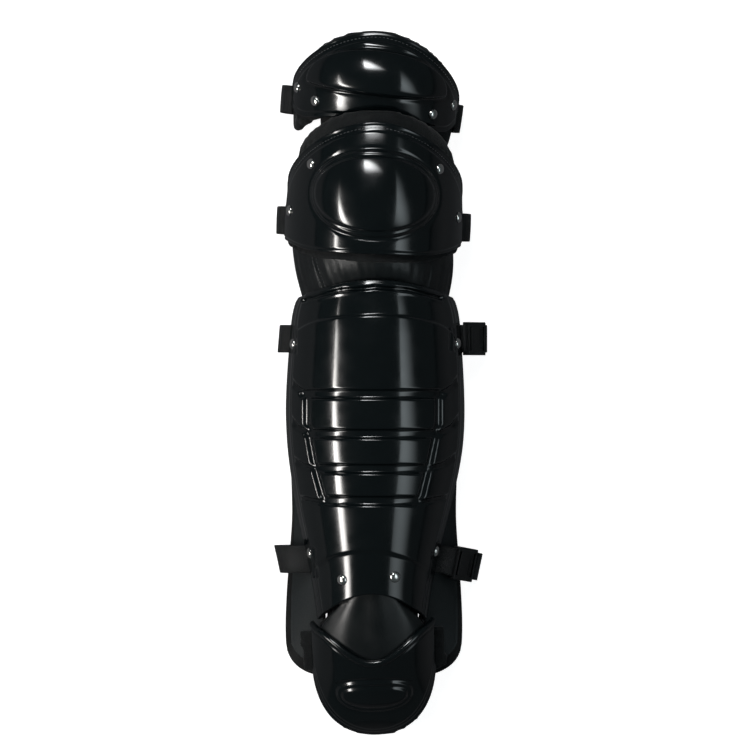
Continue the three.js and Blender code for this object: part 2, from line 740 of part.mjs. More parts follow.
// Where a strap leaves the shell's side, and where its buckle begins and ends, in one section.
function stations(strap, y) {
  const { half, edge, middle } = section(strap.on, y);
  const hub = section(strap.on, strap.on.length * (0.5 - strap.at)).half;
  const seat = half - GAP - WEB_THICK / 2;
  const top = edge - SEAT_DROP;
  const drop = Math.sqrt(BUCKLE_LENGTH ** 2 - (strap.span ?? 0) ** 2);
  const low = new THREE.Vector2(hub + strap.near + strap.span, FLOOR + BUCKLE_THICK);
  const high = new THREE.Vector2(hub + strap.near, low.y + drop);
  return { half, middle, seat, top, low, high };
}

function loopPath(strap, y) {
  const at = stations(strap, y);
  const path = new THREE.Path();
  const left = at.half + strap.left;
  path.moveTo(at.middle - at.seat, at.top);
  path.bezierCurveTo(-at.seat - strap.left / 2, at.top - 1, -left, at.top - 2, -left, at.top / 2);
  const turn = Math.min(TURN, strap.left + WEB_THICK);
  path.bezierCurveTo(-left, at.top / 5, turn / 2 - left, FLOOR, turn - left, FLOOR);
  return { path, at };
}

const plainPath = (strap) => (y) => {
  const { path, at } = loopPath(strap, y);
  const right = at.half + strap.right;
  const turn = Math.min(TURN, strap.right + WEB_THICK);
  path.lineTo(right - turn, FLOOR);
  path.bezierCurveTo(right - turn / 2, FLOOR, right, at.top / 5, right, at.top / 2);
  path.bezierCurveTo(right, at.top - 2, at.seat + strap.right / 2, at.top - 1, at.middle + at.seat, at.top);
  return path;
};

const buckledPath = (strap) => (y) => {
  const { path, at } = loopPath(strap, y);
  const down = at.low.clone().sub(at.high).normalize();
  const end = at.low.clone().addScaledVector(down, 2 * GAP + WEB_THICK / 2);
  const lead = end.clone().addScaledVector(down, 1.5 * WEB_THICK);
  lead.x += strap.curl;
  path.lineTo(end.x - TURN, FLOOR);
  path.bezierCurveTo(lead.x, FLOOR, lead.x, lead.y, end.x, end.y);
  return path;
};

const upperPath = (strap) => (y) => {
  const at = stations(strap, y);
  const down = at.low.clone().sub(at.high).normalize();
  const end = at.high.clone().addScaledVector(down, -2 * GAP);
  const path = new THREE.Path();
  path.moveTo(at.middle + at.seat, at.top);
  const lead = end.clone().addScaledVector(down, -2 * WEB_THICK);
  path.bezierCurveTo(at.seat + strap.near / 3, at.top - 1, lead.x, lead.y, end.x, end.y);
  return path;
};

// A side-release buckle: local X runs from the socket to the plug, Z is its thickness.
function plate(x0, x1, width, thick) {
  return new THREE.BoxGeometry(x1 - x0, width, thick).translate((x0 + x1) / 2, 0, 0);
}

const halfBuckle = BUCKLE_LENGTH / 2;
const socketEnd = halfBuckle - BUCKLE_PLUG;
const insideWidth = BUCKLE_WIDTH - 2 * BUCKLE_WALL;
const insideThick = BUCKLE_THICK - 2 * BUCKLE_WALL;
const prongThick = insideThick - 2 * GAP;
const prongOut = insideWidth / 2 - GAP;

// The slot that webbing passes through leaves a bar at the end of the buckle.
function webSlot(x) {
  const wide = BUCKLE_WIDTH - 2 * BUCKLE_BAR;
  return solid(plate(x - BUCKLE_BAR / 2, x + BUCKLE_BAR / 2, wide, 2 * BUCKLE_THICK));
}

const socketSolid = solid(plate(-halfBuckle, socketEnd, BUCKLE_WIDTH, BUCKLE_THICK))
  .subtract(solid(plate(3 * BUCKLE_BAR - halfBuckle, socketEnd + 1, insideWidth, insideThick)))
  .subtract(webSlot(BUCKLE_BAR - halfBuckle));
const prongs = [-1, 0, 1].map((side) => {
  const width = side ? BUCKLE_BAR : BUCKLE_BAR * 1.5;
  const bar = plate(3.5 * BUCKLE_BAR - halfBuckle, socketEnd + BUCKLE_BAR, width, prongThick);
  return solid(bar.translate(0, side * (prongOut - BUCKLE_BAR / 2), 0));
});
const plugPlate = solid(plate(socketEnd + GAP, halfBuckle, BUCKLE_WIDTH, BUCKLE_THICK - BUCKLE_WALL));
const plugSolid = prongs
  .reduce((made, one) => made.add(one), plugPlate)
  .subtract(webSlot(halfBuckle - BUCKLE_BAR));

for (const strap of straps) {
  const group = frames.get(strap.on);
  if (!strap.buckle) {
    piece(group, strap.name, ribbon(plainPath(strap), strap, 6), webbing);
    continue;
  }
  piece(group, strap.name, ribbon(buckledPath(strap), strap, 6), webbing);
  piece(group, strap.name + "_end", ribbon(upperPath(strap), strap, 6), webbing);
  const y = strap.on.length * (0.5 - strap.at);
  const { half, low, high } = stations(strap, y);
  const centre = low.clone().add(high).multiplyScalar(0.5);
  const down = low.clone().sub(high);
  const pivot = new THREE.Group();
  pivot.position.set(half, y, 0);
  pivot.rotation.z = -radians(strap.slant);
  const holder = new THREE.Group();
  holder.position.set(centre.x - half, 0, centre.y);
  holder.rotation.y = Math.atan2(-down.y, down.x);
  pivot.add(holder);
  group.add(pivot);
  piece(holder, strap.buckle + "_socket", surface(socketSolid), moulded);
  piece(holder, strap.buckle + "_plug", surface(plugSolid), moulded);
}

// The guard's frame: the origin is under the middle of its box.
const box = new THREE.Box3().setFromObject(guard, true);
guard.position.set(-(box.min.x + box.max.x) / 2, -(box.min.y + box.max.y) / 2, -box.min.z);

const part = new THREE.Group();
part.add(guard);

export default part;
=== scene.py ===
import math

import bmesh
import bpy
import numpy as np
from mathutils import Matrix, Vector


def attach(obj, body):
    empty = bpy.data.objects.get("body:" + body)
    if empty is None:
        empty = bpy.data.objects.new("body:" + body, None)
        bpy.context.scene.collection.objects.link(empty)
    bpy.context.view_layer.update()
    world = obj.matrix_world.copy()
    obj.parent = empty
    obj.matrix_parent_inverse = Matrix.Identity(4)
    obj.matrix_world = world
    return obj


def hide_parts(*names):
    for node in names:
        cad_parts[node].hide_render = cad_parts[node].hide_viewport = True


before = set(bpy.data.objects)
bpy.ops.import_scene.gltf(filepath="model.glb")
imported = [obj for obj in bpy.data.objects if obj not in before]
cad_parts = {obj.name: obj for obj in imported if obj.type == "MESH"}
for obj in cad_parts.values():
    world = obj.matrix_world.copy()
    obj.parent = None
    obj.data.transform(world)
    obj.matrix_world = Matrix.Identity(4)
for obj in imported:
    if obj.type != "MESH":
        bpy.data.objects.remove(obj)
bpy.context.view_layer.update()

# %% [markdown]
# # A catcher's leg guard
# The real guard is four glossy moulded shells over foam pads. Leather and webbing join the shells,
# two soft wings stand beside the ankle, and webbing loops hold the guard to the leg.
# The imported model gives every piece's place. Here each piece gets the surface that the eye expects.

MM = 0.001

# %% [markdown]
# ## Forms
# A moulded shell is easiest to describe as a bent sheet: a few cross-sections down its length give its
# half width, crest height and edge height. Between the rows the values are eased, so the surface has no
# kinks. The same forms carry the pads, rivets, seams and straps, so everything stays seated.

# %% Forms in millimetres
# wrap is the angle to each side that the sheet bends through. turn and slope place the form.
# rise and hem are how far its pad stands out over its upper and lower rim. A pad's skirt flares and
# folds down beside the form by flare and fold, or straight down to the floor.
# Section rows: share of the length from the top, then shares of half width, crest, edge and lean.
FORMS = {
    "thigh": {
        "length": 83, "width": 150, "crest": 110, "edge": 42, "wrap": 72, "lean": 0,
        "place": (1.5, 332.5, 0), "turn": -6.5, "slope": 0, "rise": 7, "hem": 2,
        "rows": [(-0.1, 0.93, 0.88, 1.1, 0), (0.2, 0.97, 0.97, 1.02, 0), (0.5, 1, 1, 1, 0),
                 (0.8, 1, 0.93, 0.98, 0), (1.1, 0.98, 0.81, 0.95, 0)],
    },
    "knee": {
        "length": 117, "width": 160, "crest": 126, "edge": 45, "wrap": 72, "lean": 0,
        "place": (-0.5, 234.5, 0), "turn": -2.3, "slope": 0, "rise": 14, "hem": 9.5,
        "rows": [(-0.1, 0.95, 0.935, 1.08, 0), (0.2, 0.96, 0.985, 1.03, 0), (0.5, 0.985, 1, 1, 0),
                 (0.75, 1, 1, 1, 0), (1.1, 0.98, 0.975, 1.05, 0)],
    },
    "shin": {
        "length": 304, "width": 160, "crest": 114, "edge": 40, "wrap": 72, "lean": -3,
        "place": (0, 0, 0), "turn": 0, "slope": 0, "rise": -13.6, "hem": -9.6,
        "rows": [(0, 0.8, 0.965, 1.25, 0), (0.083, 0.918, 0.985, 1.12, 0), (0.16, 0.956, 1, 1.05, 0),
                 (0.35, 1, 1, 1, 0.1), (0.473, 0.988, 0.99, 1, 0.1), (0.574, 0.936, 0.97, 1.02, 0.3),
                 (0.7, 0.835, 0.93, 1.06, 0.7), (0.87, 0.689, 0.86, 1.15, 0.9), (1, 0.612, 0.8, 1.25, 1)],
    },
    "foot": {
        "length": 107, "width": 112, "crest": 27, "edge": -12, "wrap": 74, "lean": 0,
        "place": (-1, -206.238, 39), "turn": 2, "slope": 28, "rise": -9.6, "hem": 9,
        "flare": 32, "fold": 3,
        "rows": [(-0.1, 0.98, 1.02, 1.1, 0), (0.2, 1, 1, 1, 0), (0.5, 1, 0.85, 0.7, 0),
                 (0.8, 1, 0.6, 0.3, 0), (1.1, 1, 0.2, 0, 0)],
    },
}
SHELL_WALL = 3
PAD_DEPTH = 4.2
PAD_THICK = {"thigh": 10, "knee": 10, "shin": 10, "foot": 7}
FLOOR_GAP = 2.6
ORIGIN = np.array([-4.741, -59.264, 0.0])


def column(form, index, share):
    rows = np.array(form["rows"], float)
    at, value = rows[:, 0], rows[:, index]
    share = np.clip(share, at[0], at[-1])
    i = np.clip(np.searchsorted(at, share, side="right") - 1, 0, len(at) - 2)
    before, after = np.maximum(i - 1, 0), np.minimum(i + 2, len(at) - 1)
    span = at[i + 1] - at[i]
    start = (value[i + 1] - value[before]) / (at[i + 1] - at[before]) * span
    end = (value[after] - value[i]) / (at[after] - at[i]) * span
    t, rise = (share - at[i]) / span, value[i + 1] - value[i]
    return value[i] + t * (start + t * (3 * rise - 2 * start - end + t * (start + end - 2 * rise)))


def section(form, y):
    share = 0.5 - y / form["length"]
    half = form["width"] / 2 * column(form, 1, share)
    crest, edge = form["crest"] * column(form, 2, share), form["edge"] * column(form, 3, share)
    return half, crest, edge, form["lean"] * column(form, 4, share)


def outward(form, q):
    turn = math.radians(form["wrap"])
    return np.sin(np.clip(q, -1, 1) * turn) / math.sin(turn)


def across(form, out):
    turn = math.radians(form["wrap"])
    return np.arcsin(np.clip(out, -1, 1) * math.sin(turn)) / turn


def spot(form, q, y):
    q, y = np.broadcast_arrays(np.asarray(q, float), np.asarray(y, float))
    half, crest, edge, middle = section(form, y)
    turn = math.radians(form["wrap"])
    bend = (np.cos(np.clip(q, -1, 1) * turn) - math.cos(turn)) / (1 - math.cos(turn))
    below = np.maximum(0, np.abs(q) - 1)
    flare, fold = form.get("flare", 0), form.get("fold", edge - FLOOR_GAP)
    return np.stack([middle + half * outward(form, q) + np.sign(q) * below * flare, y,
                     edge + (crest - edge) * bend - fold * below], -1)


def normal(form, q, y):
    step = 1e-3
    over = spot(form, q + step, y) - spot(form, q - step, y)
    up = spot(form, q, y + step) - spot(form, q, y - step)
    found = np.cross(over, up)
    return found / np.linalg.norm(found, axis=-1, keepdims=True)


def seated(form, points):
    turn, slope = math.radians(form["turn"]), math.radians(form["slope"])
    spin = np.array(Matrix.Rotation(slope, 3, "X") @ Matrix.Rotation(turn, 3, "Z"))
    return points @ spin.T + np.array(form["place"], float) + ORIGIN


print("forms:", ", ".join(f"{name} {form['length']} mm long" for name, form in FORMS.items()))

# %% [markdown]
# ## Rims
# Every shell ends in a curve of its own: the thigh and knee shells are rounded on top, the shin shell is
# arched over the ankle, and the foot shell has a wave above and a round toe. A rim is a height for each
# place across the shell. A point inside is then a share of the way from the upper rim to the lower one.

# %% Rim curves


def bow(out, power):
    return 1 - (1 - np.minimum(1, np.abs(out)) ** power) ** (1 / power)


def ramp(value, low, high):
    t = np.clip((value - low) / (high - low), 0, 1)
    return t * t * (3 - 2 * t)


RIMS = {
    "thigh": (lambda out: -50 * bow(out, 1.8), lambda out: 5 * (1 - out * out) + 12 * np.abs(out) ** 14),
    "knee": (lambda out: -50 * bow(out, 1.75), lambda out: 11 * np.abs(out) ** 5),
    "shin": (lambda out: -15 * out * out, lambda out: 24 * (1 - np.abs(out) ** 1.8)),
    "foot": (lambda out: -10.5 * (1 + np.cos(np.pi * np.minimum(1, np.abs(out) / 0.9))),
             lambda out: 63 * bow(out, 2)),
}
RIM_REACH = 0.3
print("upper rims fall, in mm:", {name: round(float(-upper(1.0))) for name, (upper, _) in RIMS.items()})


def rim(name, out, lower):
    return FORMS[name]["length"] * (-0.5 if lower else 0.5) + RIMS[name][1 if lower else 0](out)


def row(name, q, s):
    form = FORMS[name]
    out, length = outward(form, q), form["length"]
    top, bottom = RIMS[name][0](out), RIMS[name][1](out)
    if name == "shin":
        top = top * np.maximum(0, 1 - s / RIM_REACH)
        bottom = bottom * np.maximum(0, 1 - (1 - s) / RIM_REACH)
        return length * (0.5 - s) + top + bottom
    return length * (0.5 - s) + top * (1 - s) + bottom * s


def rim_gap(name, q, y, lower=False):
    form = FORMS[name]
    out, step = outward(form, q), 1e-3
    half = section(form, y)[0]
    rise = rim(name, np.minimum(1, out + step), lower) - rim(name, np.maximum(-1, out - step), lower)
    lean = rise / (2 * step * half)
    return np.abs(rim(name, out, lower) - y) / np.sqrt(1 + lean**2)


# %% [markdown]
# ## A closed wall from two grids
# A shell, a pad, a sheet of leather and a strap are all the same kind of mesh: a front grid, a back grid
# and a rounded lip between them. Building them with one helper keeps every piece closed, with its faces
# outwards. The lip is a few extra loops that bulge a little, as a trimmed and polished edge does.

# %% Mesh helpers


def mesh_object(name, points, faces, materials, indexes=None, uv=None):
    mesh = bpy.data.meshes.new(name)
    mesh.from_pydata((np.asarray(points) * MM).tolist(), [], faces)
    for material in materials:
        mesh.materials.append(material)
    if indexes is not None:
        mesh.polygons.foreach_set("material_index", np.asarray(indexes, np.int32))
    if uv is not None:
        layer = mesh.uv_layers.new(name="cloth")
        corners = np.empty(len(mesh.loops), np.int32)
        mesh.loops.foreach_get("vertex_index", corners)
        layer.data.foreach_set("uv", np.asarray(uv)[corners].ravel())
    mesh.shade_smooth()
    made = bpy.data.objects.new(name, mesh)
    bpy.context.scene.collection.objects.link(made)
    return made


def walled(name, front, back, lip, materials, zone=None, lip_zone=0, uv=None, loops=4):
    rows, columns = front.shape[:2]
    ring = [(i, 0) for i in range(rows - 1)] + [(rows - 1, j) for j in range(columns - 1)]
    ring += [(i, columns - 1) for i in range(rows - 1, 0, -1)] + [(0, j) for j in range(columns - 1, 0, -1)]
    ring = np.array(ring)
    inner = np.clip(ring, [1, 1], [rows - 2, columns - 2])
    edge_f, edge_b = front[ring[:, 0], ring[:, 1]], back[ring[:, 0], ring[:, 1]]
    away = edge_f - front[inner[:, 0], inner[:, 1]]
    away /= np.linalg.norm(away, axis=1, keepdims=True)
    size = rows * columns
    points = [front.reshape(-1, 3), back.reshape(-1, 3)]
    for k in range(1, loops):
        t = k / loops
        ease = 0.5 - 0.5 * math.cos(math.pi * t)
        points.append(edge_f * (1 - ease) + edge_b * ease + away * lip * math.sin(math.pi * t))
    i, j = np.meshgrid(np.arange(rows - 1), np.arange(columns - 1), indexing="ij")
    a, b = i * columns + j, (i + 1) * columns + j
    quads_f = np.stack([a, b, b + 1, a + 1], -1).reshape(-1, 4)
    quads_b = quads_f[:, ::-1] + size
    flat = ring[:, 0] * columns + ring[:, 1]
    between = [2 * size + k * len(flat) + np.arange(len(flat)) for k in range(loops - 1)]
    chain = [flat] + between + [flat + size]
    faces = [quads_f, quads_b]
    for upper, under in zip(chain, chain[1:]):
        faces.append(np.stack([np.roll(upper, -1), upper, under, np.roll(under, -1)], -1))
    zone = np.zeros(len(quads_f), int) if zone is None else zone.reshape(-1)
    indexes = np.concatenate([zone, zone] + [np.full(len(flat), lip_zone)] * loops)
    if uv is not None:
        edge = uv[ring[:, 0], ring[:, 1]]
        uv = np.concatenate([uv.reshape(-1, 2)] * 2 + [edge] * (loops - 1))
    return mesh_object(name, np.concatenate(points), np.concatenate(faces).tolist(), materials, indexes, uv)


def finish_piece(piece, slot, *nodes):
    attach(piece, "root")
    if nodes:
        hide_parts(*nodes)
    print(f"{piece.name}: {len(piece.data.polygons)} faces")
    return piece


# %% [markdown]
# ## Shared effects
# A shader node group is built once and placed in several materials. "Cloth cells" is the little net of
# threads that knitted mesh shows, "Twill" the slanting ribs of webbing with painted shade in the grooves
# between them, and "Fine mottle" the faint unevenness of any moulded or tanned surface. Each puts out a
# mask and a height, never a shader.

# %% Shader node groups


def group(name, inputs, outputs):
    tree = bpy.data.node_groups.new(name, "ShaderNodeTree")
    for label, value in inputs:
        socket = tree.interface.new_socket(label, in_out="INPUT", socket_type="NodeSocketFloat")
        socket.default_value = value
    for label in outputs:
        tree.interface.new_socket(label, in_out="OUTPUT", socket_type="NodeSocketFloat")
    return tree, tree.nodes.new("NodeGroupInput"), tree.nodes.new("NodeGroupOutput")


def math_node(tree, kind, a, b):
    node = tree.nodes.new("ShaderNodeMath")
    node.operation = kind
    for socket, value in zip(node.inputs, (a, b)):
        if hasattr(value, "is_linked"):
            tree.links.new(value, socket)
        else:
            socket.default_value = value
    return node.outputs[0]


def make_mottle():
    inputs = [("Scale", 40), ("Detail", 4), ("Low", 0.0), ("High", 1.0)]
    tree, into, out = group("Fine mottle", inputs, ["Mask", "Value"])
    place = tree.nodes.new("ShaderNodeTexCoord")
    noise = tree.nodes.new("ShaderNodeTexNoise")
    tree.links.new(place.outputs["Object"], noise.inputs["Vector"])
    tree.links.new(into.outputs["Scale"], noise.inputs["Scale"])
    tree.links.new(into.outputs["Detail"], noise.inputs["Detail"])
    spread = tree.nodes.new("ShaderNodeMapRange")
    tree.links.new(noise.outputs["Fac"], spread.inputs["Value"])
    spread.inputs["From Min"].default_value = 0.35
    spread.inputs["From Max"].default_value = 0.65
    tree.links.new(into.outputs["Low"], spread.inputs["To Min"])
    tree.links.new(into.outputs["High"], spread.inputs["To Max"])
    tree.links.new(noise.outputs["Fac"], out.inputs["Mask"])
    tree.links.new(spread.outputs["Result"], out.inputs["Value"])
    return tree


def make_cells():
    tree, into, out = group("Cloth cells", [("Scale", 700), ("Edge", 0.25)], ["Mask", "Height"])
    place = tree.nodes.new("ShaderNodeTexCoord")
    cells = tree.nodes.new("ShaderNodeTexVoronoi")
    cells.feature = "DISTANCE_TO_EDGE"
    tree.links.new(place.outputs["Object"], cells.inputs["Vector"])
    tree.links.new(into.outputs["Scale"], cells.inputs["Scale"])
    spread = tree.nodes.new("ShaderNodeMapRange")
    tree.links.new(cells.outputs["Distance"], spread.inputs["Value"])
    tree.links.new(into.outputs["Edge"], spread.inputs["From Max"])
    tree.links.new(spread.outputs["Result"], out.inputs["Mask"])
    tree.links.new(math_node(tree, "SUBTRACT", 1.0, spread.outputs["Result"]), out.inputs["Height"])
    return tree


def make_twill():
    tree, into, out = group("Twill", [("Ribs", 1.0), ("Slant", 0.7)], ["Mask", "Height"])
    place = tree.nodes.new("ShaderNodeTexCoord")
    split = tree.nodes.new("ShaderNodeSeparateXYZ")
    tree.links.new(place.outputs["UV"], split.inputs[0])
    along = math_node(tree, "MULTIPLY", split.outputs["X"], into.outputs["Slant"])
    slanted = math_node(tree, "ADD", along, split.outputs["Y"])
    turns = math_node(tree, "MULTIPLY", slanted, into.outputs["Ribs"])
    wave = math_node(tree, "SINE", turns, 0.0)
    crossing = math_node(tree, "MULTIPLY", split.outputs["X"], into.outputs["Ribs"])
    cross = math_node(tree, "SINE", crossing, 0.0)
    both = math_node(tree, "ADD", wave, math_node(tree, "MULTIPLY", cross, 0.35))
    height = math_node(tree, "MULTIPLY_ADD", both, 0.4)
    height.node.inputs[2].default_value = 0.5
    tree.links.new(height, out.inputs["Height"])
    # The mask is the height itself, so the grooves between the ribs take the darker colour: painted shade.
    tree.links.new(height, out.inputs["Mask"])
    return tree


MOTTLE, CELLS, TWILL = make_mottle(), make_cells(), make_twill()
print("shared effects:", MOTTLE.name, CELLS.name, TWILL.name)

# %% [markdown]
# ## Materials
# The shells are near black with a cool tint and a high gloss, so what shows is mostly the lamps that they
# mirror. The cloths and leathers are just as dark but scatter light, and differ by weave and grain.
# Values that are the same all over sit on the shader's own sockets.

# %% Materials


def material(name, dark, light, rough, effect=None, settings=None, bump=0.1, reach=0.0002,
             mottle=(40, 4), fixed=None):
    made = bpy.data.materials.new(name)
    made.use_nodes = True
    tree = made.node_tree
    shader = tree.nodes["Principled BSDF"]
    for label, value in (fixed or {}).items():
        shader.inputs[label].default_value = value
    blotch = tree.nodes.new("ShaderNodeGroup")
    blotch.node_tree = MOTTLE
    blotch.inputs["Scale"].default_value, blotch.inputs["Detail"].default_value = mottle
    blotch.inputs["Low"].default_value, blotch.inputs["High"].default_value = rough
    tree.links.new(blotch.outputs["Value"], shader.inputs["Roughness"])
    mask, height = blotch.outputs["Mask"], blotch.outputs["Mask"]
    if effect:
        weave = tree.nodes.new("ShaderNodeGroup")
        weave.node_tree = effect
        for label, value in settings.items():
            weave.inputs[label].default_value = value
        mask, height = weave.outputs["Mask"], weave.outputs["Height"]
    mix = tree.nodes.new("ShaderNodeMix")
    mix.data_type = "RGBA"
    tree.links.new(mask, mix.inputs["Factor"])
    mix.inputs["A"].default_value = (*dark, 1)
    mix.inputs["B"].default_value = (*light, 1)
    tree.links.new(mix.outputs["Result"], shader.inputs["Base Color"])
    dent = tree.nodes.new("ShaderNodeBump")
    dent.inputs["Strength"].default_value = bump
    dent.inputs["Distance"].default_value = reach
    tree.links.new(height, dent.inputs["Height"])
    tree.links.new(dent.outputs["Normal"], shader.inputs["Normal"])
    return made


GLOSS = material(
    "glossy shell", (0.0012, 0.0026, 0.0031), (0.0020, 0.0038, 0.0044), (0.13, 0.19),
    bump=0.03, reach=0.0003, mottle=(55, 2),
    fixed={"IOR": 1.5, "Coat Weight": 0.35, "Coat Roughness": 0.05},
)
PADDING = material(
    "knitted mesh", (0.0016, 0.0022, 0.0025), (0.0055, 0.0072, 0.008), (0.75, 0.95),
    CELLS, {"Scale": 620.0, "Edge": 0.3}, bump=0.5, reach=0.0004,
    fixed={"Specular IOR Level": 0.25, "Sheen Weight": 0.08, "Sheen Roughness": 0.5},
)
TAPE = material(
    "edge tape", (0.0012, 0.0015, 0.0017), (0.0035, 0.0042, 0.0046), (0.7, 0.9),
    CELLS, {"Scale": 1500.0, "Edge": 0.35}, bump=0.4, reach=0.0002,
    fixed={"Specular IOR Level": 0.25, "Sheen Weight": 0.05},
)
LEATHER = material(
    "soft leather", (0.0022, 0.0034, 0.0038), (0.0045, 0.0062, 0.0068), (0.3, 0.42),
    CELLS, {"Scale": 900.0, "Edge": 0.12}, bump=0.16, reach=0.00025,
    fixed={"Specular IOR Level": 0.45},
)
COATED = material(
    "coated cloth", (0.0055, 0.0082, 0.0092), (0.009, 0.0125, 0.014), (0.6, 0.75),
    bump=0.15, reach=0.0002, mottle=(900, 3), fixed={"Specular IOR Level": 0.35},
)
# The darker colour fills the twill's grooves as painted shade, and the lighter one goes on its ribs.
WEBBING = material(
    "webbing", (0.0014, 0.0018, 0.002), (0.0055, 0.0066, 0.0072), (0.6, 0.85),
    TWILL, {"Ribs": 3.4, "Slant": 0.7}, bump=0.7, reach=0.0004,
    fixed={"Specular IOR Level": 0.3, "Sheen Weight": 0.05},
)
MOULDED = material(
    "buckle plastic", (0.0022, 0.0028, 0.003), (0.0042, 0.005, 0.0053), (0.32, 0.45),
    bump=0.12, reach=0.00015, mottle=(800, 2), fixed={"Specular IOR Level": 0.5},
)
NICKEL = material(
    "bright nickel", (0.62, 0.61, 0.59), (0.8, 0.79, 0.77), (0.12, 0.26),
    bump=0.05, reach=0.0001, mottle=(420, 3), fixed={"Metallic": 1.0},
)
THREAD = material(
    "thread", (0.03, 0.031, 0.033), (0.07, 0.072, 0.075), (0.5, 0.7),
    bump=0.2, reach=0.0001, mottle=(1500, 2),
)
print("materials:", len(bpy.data.materials))

# %% [markdown]
# ## Shell relief
# The mould presses steps, domes, ribs and creases into each shell. They could be modelled one by one, but
# a height over the plain bent surface is simpler and joins them smoothly: each feature is a distance to a
# line or an outline, and a soft ramp turns the distance into a height.

# %% Heights of the pressed features


def line_gap(points, x, y):
    nearest = np.full(x.shape, 1e9)
    for (ax, ay), (bx, by) in zip(points, points[1:]):
        dx, dy = bx - ax, by - ay
        t = np.clip(((x - ax) * dx + (y - ay) * dy) / (dx * dx + dy * dy), 0, 1)
        nearest = np.minimum(nearest, np.hypot(x - ax - t * dx, y - ay - t * dy))
    return nearest


def groove(points, half, x, y, soft=1.1):
    return 1 - ramp(line_gap(points, x, y), half - soft, half + soft)


def oval_gap(x, y, wide, above, below, power):
    tall = np.where(y > 0, above, below)
    u, v = np.abs(x) / wide + 1e-6, np.abs(y) / tall + 1e-6
    r = (u**power + v**power) ** (1 / power)
    lean = np.hypot(r ** (1 - power) * u ** (power - 1) / wide, r ** (1 - power) * v ** (power - 1) / tall)
    return (1 - r) / lean, r


# A dome's outline is wide by above and below its middle. power squares the outline, step is the height
# of its wall, crown how much more its middle rises, and bevel the width that the wall slopes over.
def dome(x, y, wide, above, below, power, step, crown, bevel=3.0):
    gap, r = oval_gap(x, y, wide, above, below, power)
    height = step * ramp(gap, -0.4, bevel) + crown * np.clip(1 - r * r, 0, 1) ** 0.8
    return height - 0.7 * np.exp(-(((gap + 1.6) / 1.4) ** 2))


def thigh_relief(x, y, q):
    top, bottom = rim_gap("thigh", q, y), rim_gap("thigh", q, y, True)
    flange = ramp(top, 7.0, 8.8) * ramp(bottom, 3.4, 5.4)
    body = dome(x, y + 6, 61.5, 31.7, 8.5, 2.2, 4.2, 4.8)
    return 1.1 * flange + body + 0.5 * (1 - ramp(top, 0.6, 1.6))


def knee_relief(x, y, q):
    top, bottom = rim_gap("knee", q, y), rim_gap("knee", q, y, True)
    flange = ramp(top, 7.0, 8.8) * ramp(bottom, 1.6, 3.2)
    outer = dome(x, y + 5.3, 56, 39.4, 39.4, 2.1, 2.6, 1.0, 3.4)
    inner = dome(x, y + 5.3, 51, 33.6, 33.6, 2.1, 1.4, 4.6, 2.0)
    return 1.1 * flange + outer + inner + 0.5 * (1 - ramp(top, 0.6, 1.6))


# The shin's pressed lines, in millimetres from the middle of the shell: valleys between the fields,
# creases that run from them to the sides, the ends of the fields, slits, and the two steps of its rims.
SHIN_VALLEYS = [
    [(-60.8, 50.4), (55.4, 50.4)],
    [(-56.8, 14.9), (51.8, 14.9)],
    [(-50.4, -16.2), (43.6, -16.2)],
    [(-42.8, -44.8), (36.2, -44.8)],
]
SHIN_CREASES = [
    [(-76, 68), (-73.4, 63.9), (-68.9, 57.6), (-59.9, 50.4)],
    [(74, 69), (71.5, 64.8), (67, 57.6), (55.4, 50.4)],
    [(-78, 36), (-74.2, 30.6), (-68, 21.6), (-55.4, 14.4)],
    [(76, 36), (72.5, 30.6), (66.2, 21.6), (52.6, 14.4)],
    [(-76, -2), (-70.7, -7.2), (-63.5, -12.6), (-50.9, -16.2)],
    [(73, -1), (67, -6.3), (59, -11.7), (43.6, -16.2)],
    [(-70, -41), (-64.4, -42.3), (-44.6, -45.9)],
    [(65, -40), (59.9, -41.4), (38.2, -45.9)],
]
RIB_ENDS = [
    [(-59.3, 48.6), (-59.3, 23.4), (-54.9, 16.2)],
    [(54.1, 48.6), (54.1, 23.4), (50.9, 16.2)],
    [(-56.9, 10.8), (-53, -10.8), (-50.9, -15.3)],
    [(50.9, 10.8), (46.4, -10.8), (44.1, -15.3)],
    [(-50.9, -19.8), (-45.5, -39.6), (-42.8, -44.1)],
    [(43.6, -19.8), (38.8, -39.6), (36.2, -44.1)],
]
SHIN_SLITS = [
    [(-68.4, 107), (-68.4, 87.3)], [(64.4, 109), (64.4, 90)], [(68.4, 109), (68.4, 90)],
    [(-55.8, -86.4), (-54.9, -113.4)], [(-51.8, -88.2), (-50.6, -113.4)], [(48.1, -91.8), (45.9, -116.1)],
]
UPPER_STEP = [
    (-80, 97), (-71.5, 105.3), (-68, 108.9), (-54.5, 116.1), (-27.4, 120.6), (4, 122),
    (29.2, 120.1), (55.4, 114.3), (63.5, 108.9), (71.5, 102.6), (80, 94),
]
LOWER_STEP = [
    (-80, -131), (-62.6, -117), (-49.1, -104.4), (-37.8, -95.9), (-18.4, -91.5),
    (6.3, -91.5), (28.4, -98.1), (41.9, -105.7), (54.5, -115.2), (80, -134),
]
SLOT = [(-63.9, 134.3), (-31.9, 143.2), (0, 146.0), (29.2, 143.6), (57.6, 136.3)]


def eased_line(points, x):
    xs, ys = np.array(points).T
    fine = np.linspace(xs[0], xs[-1], 321)
    level = np.interp(fine, xs, ys)
    padded = np.pad(level, 12, mode="edge")
    return np.interp(x, fine, np.convolve(padded, np.ones(25) / 25, "valid"))


